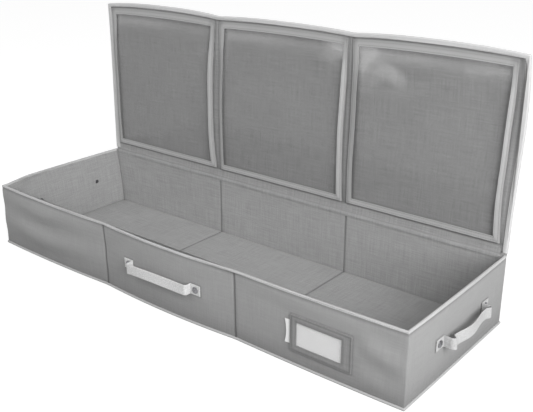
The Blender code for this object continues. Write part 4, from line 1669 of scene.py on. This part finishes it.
@dataclass
class Handle:
    """A webbing handle: two tabs, each held by a rivet, and the strap that stands out between them.

    The strap hangs (droop), is higher at one end (lilt), leans (lean), turns along its length (twist), bows
    out and in (wave), and lies nearer the wall all along (slack) or, as a share, at its right end (tuck). Two
    places out from the wall, swing_start and swing_end, are worked out but not used.
    """

    wall: Wall
    webbing: Finish
    thickness: float = 0.0015
    root: float = 0.00115
    bend: float = 0.006
    droop: float = 0.0
    lilt: float = 0.0
    lean: float = 0.0
    twist: float = 0.0
    wave: float = 0.0
    slack: float = 0.0
    tuck: float = 0.0
    swing_start: float = 0.0012
    swing_end: float = 0.0140

    def to_wall(self, points: np.ndarray) -> np.ndarray:
        """Takes points from along, out and up on this wall to the frame."""
        turn = np.array([self.wall.along, self.wall.outwards, (0, 0, 1)])
        outwards, along = np.array(self.wall.outwards), np.array(self.wall.along)
        return points @ turn + outwards * self.face + along * self.centre

    def build(self, rivet: "Rivet") -> None:
        """Makes the tabs, the rivets and the strap."""
        name = self.wall.label + "_handle"
        self.face = GIVE.half_depth if self.wall is Wall.FRONT else GIVE.half_length
        along = self.wall.along
        for end in ENDS:
            low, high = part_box(f"{name}_tab_{end}")
            self.build_tab(f"{name}_tab_{end}", low, high)
            rivet.place(f"{name}_rivet_{end}", self.wall)
        strap_low, strap_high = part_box(name + "_strap")
        size = strap_high - strap_low
        self.centre = (strap_low + strap_high).dot(along) / 2
        self.half_span = abs(size.dot(along)) / 2 - self.thickness / 2
        self.reach = max(abs(strap_low.dot(self.wall.outwards)), abs(strap_high.dot(self.wall.outwards)))
        self.reach -= self.face + self.thickness / 2
        self.height = (strap_low.z + strap_high.z) / 2
        self.build_strap(name, size.z)

    def build_tab(self, node: str, low: Vector, high: Vector) -> None:
        """Cuts a square tab with soft edges that are pressed down round the rivet."""
        obj = Bench.slab(node + "_webbing", low, high)
        Bench.round_edges(obj, 0.00045, 3)
        Bench.refine(obj, 0.0022, *(axis for axis in Axis if high[axis.value] - low[axis.value] > 0.005))
        along = self.wall.value[1]
        Bench.lay_cloth(obj, along)
        middle = (low + high) / 2
        outwards = np.array(self.wall.outwards)

        def press(points: np.ndarray) -> np.ndarray:
            """Presses the tab in under the rivet and lets its corners lift."""
            flat = points - np.array(middle)
            flat -= np.outer(flat @ outwards, outwards)
            away = np.linalg.norm(flat, axis=1)
            top = rise((points - np.array(middle)) @ outwards, 0.0, 0.0006)
            lift = 0.00035 * rise(away, 0.008, 0.014) - 0.00030 * np.exp(-((away / 0.007) ** 2)) * top
            return points + np.outer(lift, outwards)

        Bench.settle(obj, press, GIVE.box)
        hand_over(obj, self.webbing, "box", [node], smooth=45)

    def path(self) -> tuple[np.ndarray, np.ndarray]:
        """The strap's middle line from its middle to one tab, as lengths and (along, out) points."""
        seat = 0.0003 + self.thickness / 2
        points = [(0.0, self.reach)]
        turn_along = self.half_span - self.bend
        for i in range(1, 25):
            points.append((turn_along * i / 24, self.reach))
        for i in range(1, 9):
            angle = math.pi / 2 * i / 8
            out = self.reach - self.bend * (1 - math.cos(angle))
            points.append((turn_along + self.bend * math.sin(angle), out))
        foot = seat + self.root
        for i in range(1, 7):
            points.append((self.half_span, self.reach - self.bend + (foot - self.reach + self.bend) * i / 6))
        for i in range(1, 7):
            angle = math.pi / 2 * i / 6
            along = self.half_span + self.root * (1 - math.cos(angle))
            points.append((along, foot - self.root * math.sin(angle)))
        line = np.array(points)
        lengths = np.concatenate([[0], np.cumsum(np.linalg.norm(np.diff(line, axis=0), axis=1))])
        return lengths, line

    def build_strap(self, name: str, width: float) -> None:
        """Cuts the strap flat, then bends it along its path with a droop and a slight twist."""
        lengths, line = self.path()
        half = lengths[-1]
        bpy.ops.mesh.primitive_grid_add(x_subdivisions=110, y_subdivisions=8, size=1)
        bpy.context.object.scale = (2 * half, width, 1)
        obj = Bench.started(name + "_strap_webbing")
        Bench.thicken(obj, self.thickness, 0.0)
        Bench.round_edges(
            obj,
            0.0004,
            2,
            lambda edge: (
                abs(abs(Bench.middle(edge).y) - width / 2) < 1e-6
                and abs(edge.verts[0].co.z - edge.verts[1].co.z) < 1e-7
                and abs(edge.verts[0].co.y - edge.verts[1].co.y) < 1e-7
            ),
        )
        Bench.lay_cloth(obj, Axis.X)

        def bend(points: np.ndarray) -> np.ndarray:
            """Takes the flat strap onto its path."""
            run, across, lift = points.T
            side = np.sign(run)
            length = np.abs(run)
            along = np.interp(length, lengths, line[:, 0]) * side
            out = np.interp(length, lengths, line[:, 1])
            out -= (out - line[-1, 1]) * self.tuck * rise(run / half, -0.60, 0.55)
            step = 0.0004
            ahead_along = np.interp(length + step, lengths, line[:, 0])
            ahead_out = np.interp(length + step, lengths, line[:, 1])
            back_along = np.interp(np.maximum(length - step, 0), lengths, line[:, 0])
            back_out = np.interp(np.maximum(length - step, 0), lengths, line[:, 1])
            way = np.stack([(ahead_along - back_along), (ahead_out - back_out)], 1)
            way /= np.linalg.norm(way, axis=1)[:, None]
            normal_along, normal_out = -way[:, 1] * side, way[:, 0]
            loose = rise(half - length, 0.010, 0.034)
            share = run / half
            roll = self.lean * loose + self.twist * loose * np.sin(share * np.pi * 0.9 + 0.35)
            sag = -self.droop * loose * np.cos(share * np.pi / 2) + self.lilt * loose * np.sin(share * np.pi)
            up = across * np.cos(roll) + lift * np.sin(roll)
            off = lift * np.cos(roll) - across * np.sin(roll)
            free = rise(self.half_span - self.bend - np.abs(along), 0.0, 0.010)
            wave = self.wave * np.cos(share * np.pi * 1.75) * (1 - 0.8 * share) - self.slack
            out = out + off * normal_out + self.carried(along) + free * wave
            flat = np.stack([along + off * normal_along, out, self.height + sag + up], 1)
            return self.to_wall(flat)

        Bench.settle(obj, bend)
        hand_over(obj, self.webbing, "", [name + "_strap"], smooth=45)
        outwards = self.wall.outwards
        stand = self.face + float(self.carried(np.zeros(1))[0])
        start = outwards * (stand + self.swing_start)
        end = outwards * (stand + self.swing_end)
        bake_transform(obj)

    def carried(self, along: np.ndarray) -> np.ndarray:
        """How far out the two tabs carry the strap, evened out along it."""
        ends = []
        for side in (-1, 1):
            reach = self.centre + side * (self.half_span + 0.012)
            spot = self.wall.along * reach + self.wall.outwards * self.face
            spot.z = self.height
            ends.append(float((Vector(GIVE.box(np.array([spot]))[0]) - spot).dot(self.wall.outwards)))
        share = np.clip(along / self.half_span / 2 + 0.5, 0, 1)
        return ends[0] * (1 - share) + ends[1] * share


@dataclass
class Rivet:
    """A domed rivet with a rolled rim, and its flat tail inside the box. One is modelled, others copied."""

    radius: float = 0.0065
    tail_radius: float = 0.0045
    shank_radius: float = 0.002
    seat: float = 0.0021
    tail: float = -0.0050
    plate: float = 0.0009
    shape: bpy.types.Mesh | None = None

    @staticmethod
    def rod(name: str, radius: float, foot: float, top: float, sides: int) -> bpy.types.Object:
        """An upright round rod from its foot to its top."""
        middle = (0, 0, (foot + top) / 2)
        bpy.ops.mesh.primitive_cylinder_add(vertices=sides, radius=radius, depth=top - foot, location=middle)
        return Bench.started(name)

    @staticmethod
    def turn_cap(obj: bpy.types.Object, way: int, steps: Sequence[tuple[float, float]]) -> None:
        """Shapes a rod's top (1) or foot (-1) by each step's inset and lift, and softens its rims."""
        with Bench.editing(obj, "FACE"):
            for inset, lift in steps:
                Bench.pick(
                    obj,
                    "faces",
                    lambda face: face.normal.z * way > 0.9 and Bench.middle(face).xy.length < 1e-4,
                )
                bpy.ops.mesh.inset(thickness=inset, depth=0)
                bpy.ops.transform.translate(value=(0, 0, lift))
        Bench.round_edges(obj, 0.00018, 2, lambda edge: edge.calc_face_angle(0) > 0.7)

    def model(self) -> None:
        """Models the rivet about the origin, with its head towards +Z and the wall's outer face at Z 0."""
        head = self.rod("rivet_head", self.radius, self.seat, self.seat + self.plate, 40)
        steps = (
            (0.0004, 0.00030),
            (0.0007, 0.00010),
            (0.0007, -0.00025),
            (0.0005, 0.00010),
            (0.0007, 0.00060),
            (0.0010, 0.00040),
            (0.0012, 0.00020),
        )
        self.turn_cap(head, 1, steps)
        foot = self.rod("rivet_tail", self.tail_radius, self.tail - self.plate, self.tail, 40)
        self.turn_cap(foot, -1, ((0.0004, -0.0002), (0.0010, -0.0001), (0.0008, 0.0004)))
        shank = self.rod("rivet_shank", self.shank_radius, self.tail, self.seat, 24)
        Bench.round_edges(shank, 0.0002, 1, lambda edge: abs(edge.verts[0].co.z - edge.verts[1].co.z) < 1e-6)
        Bench.alone(head)
        foot.select_set(True)
        shank.select_set(True)
        bpy.ops.object.join()
        self.shape = head.data.copy()
        bpy.data.objects.remove(head)

    def place(self, node: str, wall: Wall) -> None:
        """Sets a copy in the wall at its node, moved out with the cloth that it holds."""
        low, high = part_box(node)
        middle = (low + high) / 2
        face = GIVE.half_depth if wall is Wall.FRONT else GIVE.half_length
        outwards = wall.outwards
        seat = middle - outwards * middle.dot(outwards) + outwards * face
        give = np.array(GIVE.box(np.array([seat]))[0])
        turn = outwards.to_track_quat("Z", "X").to_matrix().to_4x4()
        mesh = self.shape.copy()
        mesh.name = node + "_metal"
        mesh.transform(Matrix.Translation(Vector(give)) @ turn)
        obj = bpy.data.objects.new(node + "_metal", mesh)
        bpy.context.scene.collection.objects.link(obj)
        hand_over(obj, GUNMETAL, "box", [node], smooth=40)


@dataclass
class LabelHolder:
    """The stitched frame on the front wall, its clear window and the blank card in it, open at the left."""

    margin: float = 0.013
    window_length: float = 0.089
    window_height: float = 0.043
    skin: float = 0.0010
    stitch_far: float = 0.0030
    stitch_near: float = 0.0022

    def build(self) -> None:
        """Makes the frame, its stitching, the window and the card."""
        low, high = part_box("label_holder")
        pane_low, pane_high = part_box("label_window")
        card_low, card_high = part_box("label_card")
        self.build_frame(low, high)
        window = Bench.slab("label_window_sheet", pane_low, pane_high)
        Bench.round_edges(window, 0.00012, 1)
        Bench.refine(window, 0.004, Axis.X, Axis.Z)
        along, up = ripple(Axis.Y, Axis.X, 0.00006, 0.041), ripple(Axis.Y, Axis.Z, 0.00005, 0.029, 0.7)
        Bench.settle(window, along, up, self.stand_out)
        hand_over(window, LABEL_VINYL, "box", ["label_window"])
        self.build_card(card_low, card_high)

    def build_frame(self, low: Vector, high: Vector) -> None:
        """Cuts the frame round its window, turns its edges to the wall, and leaves its left end open."""
        opening_low = Vector((low.x + self.margin, 0, (low.z + high.z - self.window_height) / 2))
        opening_high = opening_low + Vector((self.window_length, 0, self.window_height))
        obj = Bench.sheet("label_holder_frame", (low.x, low.y, low.z), (high.x, low.y, high.z))
        Bench.cut_at(obj, Axis.X, [opening_low.x, opening_high.x])
        Bench.cut_at(obj, Axis.Z, [opening_low.z, opening_high.z])
        Bench.drop_faces(
            obj,
            lambda face: (
                opening_low.x < Bench.middle(face).x < opening_high.x
                and opening_low.z < Bench.middle(face).z < opening_high.z
            ),
        )
        Bench.pull(
            obj,
            (0, high.y - low.y, 0),
            lambda middle: close(middle.z, low.z) or close(middle.z, high.z) or close(middle.x, high.x),
        )
        Bench.on_all(obj, bpy.ops.mesh.remove_doubles, threshold=1e-6)
        Bench.round_edges(obj, 0.0011, 3, square_fold)
        Bench.refine(obj, 0.0015, Axis.X, Axis.Z)
        Bench.thicken(obj, self.skin)
        Bench.lay_cloth(obj)

        def pad(points: np.ndarray) -> np.ndarray:
            """Presses the cloth down along its stitches and lets it swell between them."""
            edge, inner = frame_edges(points, low, high, opening_low, opening_high)
            press = line_share(edge - self.stitch_far, 0.0010)
            press += 0.8 * line_share(inner - self.stitch_near, 0.0010)
            swell = np.sin(np.pi * np.clip(inner / 0.011, 0, 1))
            moved = points.copy()
            moved[:, 1] += rise(high.y - points[:, 1], 0.0008, 0.0016) * (0.00055 * press - 0.00045 * swell)
            return moved

        # Painted shade along the frame's stitch lines and its outer edge.
        x, _, z = Bench.points(obj).T
        far, near = self.stitch_far, self.stitch_near
        sewn_in, sewn_out = Vector((far, far)), Vector((near, near))
        lines = outline_share(x, z, low.xz + sewn_in, high.xz - sewn_in, 0.0013)
        lines += 0.5 * outline_share(x, z, opening_low.xz - sewn_out, opening_high.xz + sewn_out, 0.0011)
        Bench.crease_and_painted_light(obj, 0.6 * lines + 0.3 * outline_share(x, z, low.xz, high.xz, 0.0010))
        Bench.settle(obj, pad, self.stand_out)
        hand_over(obj, LABEL_CLOTH, "box", ["label_holder"], smooth=50)
        rows = StitchRows("label_stitches", GREY_THREAD, pitch=0.0034, length=0.0024)
        face, out = low.y + 0.0004, (0, -1, 0)
        for z in (low.z + far, high.z - far):
            rows.row((low.x + far, face, z), (high.x - far, face, z), out)
        rows.row((high.x - far, face, low.z + far), (high.x - far, face, high.z - far), out)
        for z in (opening_low.z - near, opening_high.z + near):
            rows.row((opening_low.x - near, face, z), (opening_high.x + near, face, z), out)
        for x in (opening_low.x - near, opening_high.x + near):
            rows.row((x, face, opening_low.z - near), (x, face, opening_high.z + near), out)
        rows.make("cover_fabric", "box", self.stand_out)

    @staticmethod
    def stand_out(points: np.ndarray) -> np.ndarray:
        """Moves a layer out with the flat part of the wall that carries it."""
        return points - np.array((0, GIVE.label_level, 0))

    def build_card(self, low: Vector, high: Vector) -> None:
        """Cuts the card with a thumb hollow in its free end, and curls that end a little off the wall."""
        obj = Bench.slab("label_card_paper", low, high)
        Bench.round_edges(obj, 0.0001, 1)
        Bench.refine(obj, 0.003, Axis.X)
        Bench.refine(obj, 0.0022, Axis.Z)
        middle, half = (low.z + high.z) / 2, (high.z - low.z) / 2

        def hollow(points: np.ndarray) -> np.ndarray:
            """Draws the free end in at its middle and curls it."""
            x, _, z = points.T
            moved = points.copy()
            near = 1 - rise(x, low.x, low.x + 0.010)
            moved[:, 0] += 0.003 * near * np.cos(np.clip((z - middle) / half, -1, 1) * np.pi / 2)
            moved[:, 1] -= 0.0012 * (1 - rise(x, low.x, low.x + 0.013))
            return moved

        Bench.settle(obj, hollow, self.stand_out)
        hand_over(obj, BLANK_CARD, "card", ["label_card"])


# Studio


@dataclass
class Studio:
    """The plain pale floor, the soft lights and the camera at the photograph's angle."""

    azimuth: float = 38.946
    elevation: float = 21.20
    lens: float = 54.89
    stand: tuple[float, float, float] = (1.0006, -1.1143, 0.7396)
    ambient: float = 0.46

    def build(self) -> None:
        """Makes all of it."""
        self.build_camera()
        self.build_floor()
        self.build_world()
        self.lamp("key_light", (2.7, -1.1, 1.4), (0.2, 0.0, 0.15), 1.8, 92)
        self.lamp("front_light", (-0.6, -2.6, 2.6), (0, 0, 0.15), 2.2, 34)
        bpy.context.scene.view_settings.view_transform = "Standard"

    def build_camera(self) -> None:
        """Stands the camera where the photograph was taken."""
        data = bpy.data.cameras.new("camera")
        data.lens, data.sensor_width, data.clip_end = self.lens, 36.0, 100
        camera = bpy.data.objects.new("camera", data)
        camera.location = self.stand
        camera.rotation_euler = (math.radians(90 - self.elevation), 0, math.radians(self.azimuth))
        bpy.context.scene.collection.objects.link(camera)
        bpy.context.scene.camera = camera

    @staticmethod
    def lamp(name: str, place: Sequence[float], aim: Sequence[float], size: float, power: float) -> None:
        """Hangs a square soft light that faces a point."""
        data = bpy.data.lights.new(name, "AREA")
        data.shape, data.size, data.energy = "SQUARE", size, power
        light = bpy.data.objects.new(name, data)
        light.location = place
        light.rotation_euler = (Vector(aim) - Vector(place)).to_track_quat("-Z", "Y").to_euler()
        bpy.context.scene.collection.objects.link(light)

    @staticmethod
    def by_ray(board: NodeBoard, lighting: bpy.types.Node, shown: bpy.types.Node) -> bpy.types.NodeSocket:
        """One shader for what only lights, and one for what is seen straight or in metal or glass."""
        rays = board.node("ShaderNodeLightPath").outputs
        straight, glossy, through = (
            Value(board, rays[name]) for name in ("Is Camera Ray", "Is Glossy Ray", "Is Transmission Ray")
        )
        seen = (straight + glossy + through).ramp(0.0, 0.5)
        mix = board.node("ShaderNodeMixShader", {}, {0: seen, 1: lighting.outputs[0], 2: shown.outputs[0]})
        return mix.outputs[0]

    def build_floor(self) -> None:
        """Lays a floor that is white to the eye, keeps the shadow and throws little light back up."""
        bpy.ops.mesh.primitive_plane_add(size=60, location=(0, 0, -0.0004))
        floor = Bench.started("floor")
        material = bpy.data.materials.new("floor_paper")
        material.use_nodes = True
        board = NodeBoard(material.node_tree)
        pale = board.node("ShaderNodeBsdfDiffuse", {}, {"Color": (*grey(160), 1)})
        lit = board.node("ShaderNodeEmission", {}, {"Color": (1, 1, 1, 1), "Strength": 0.80})
        shown = board.node("ShaderNodeAddShader", {}, {0: pale.outputs[0], 1: lit.outputs[0]})
        dim = board.node("ShaderNodeBsdfDiffuse", {}, {"Color": (*grey(150), 1)})
        board.node("ShaderNodeOutputMaterial", {}, {"Surface": self.by_ray(board, dim, shown)})
        floor.data.materials.append(material)

    def build_world(self) -> None:
        """Sets a soft even light that shows as white."""
        world = bpy.data.worlds.new("studio")
        bpy.context.scene.world = world
        world.use_nodes = True
        board = NodeBoard(world.node_tree)
        soft = board.node("ShaderNodeBackground", {}, {"Color": (1, 1, 1, 1), "Strength": self.ambient})
        white = board.node("ShaderNodeBackground", {}, {"Color": (1, 1, 1, 1), "Strength": 1.0})
        board.node("ShaderNodeOutputWorld", {}, {"Surface": self.by_ray(board, soft, white)})


def main() -> None:
    """Builds the organizer's pieces in order and sets the studio round them."""
    logging.basicConfig(level=logging.INFO, format="%(name)s: %(message)s")
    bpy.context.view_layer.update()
    shell = BoxShell()
    shell.build()
    EdgeTrims().build()
    pockets = [
        Pocket(
            "left",
            (Stray(9.0, 6.4, 5.2), Stray(6.5, 3.0, 6.7), Stray(-4.0, -12.8, 1.0), Stray(-8.0, -18.8, -5.0)),
        ),
        Pocket(
            "middle",
            (
                Stray(-3.5, -7.5, -1.5),
                Stray(-8.0, -12.3, -1.0),
                Stray(-3.0, -6.5, 1.0),
                Stray(-7.5, -13.5, -5.5),
            ),
        ),
        Pocket(
            "right",
            (
                Stray(-6.0, -8.0, -5.0),
                Stray(-8.0, -10.0, -6.0),
                Stray(-2.0, -6.3, -0.5),
                Stray(-6.0, -13.5, -6.5),
            ),
            gap_shade=0.0,
        ),
    ]
    Lid().build(shell, pockets)
    for pocket in pockets:
        pocket.build()
    rivet = Rivet()
    rivet.model()
    Handle(Wall.FRONT, LIT_WEBBING, droop=-0.0010, lilt=-0.0015, twist=0.04, tuck=0.35).build(rivet)
    for wall in (Wall.RIGHT, Wall.LEFT):
        handle = Handle(
            wall, SHADED_WEBBING, droop=0.0004, lilt=0.0018, lean=0.09, twist=-0.07, wave=0.0030, slack=0.0025
        )
        handle.build(rivet)
    LabelHolder().build()
    Studio().build()


if __name__ == "__main__":
    main()
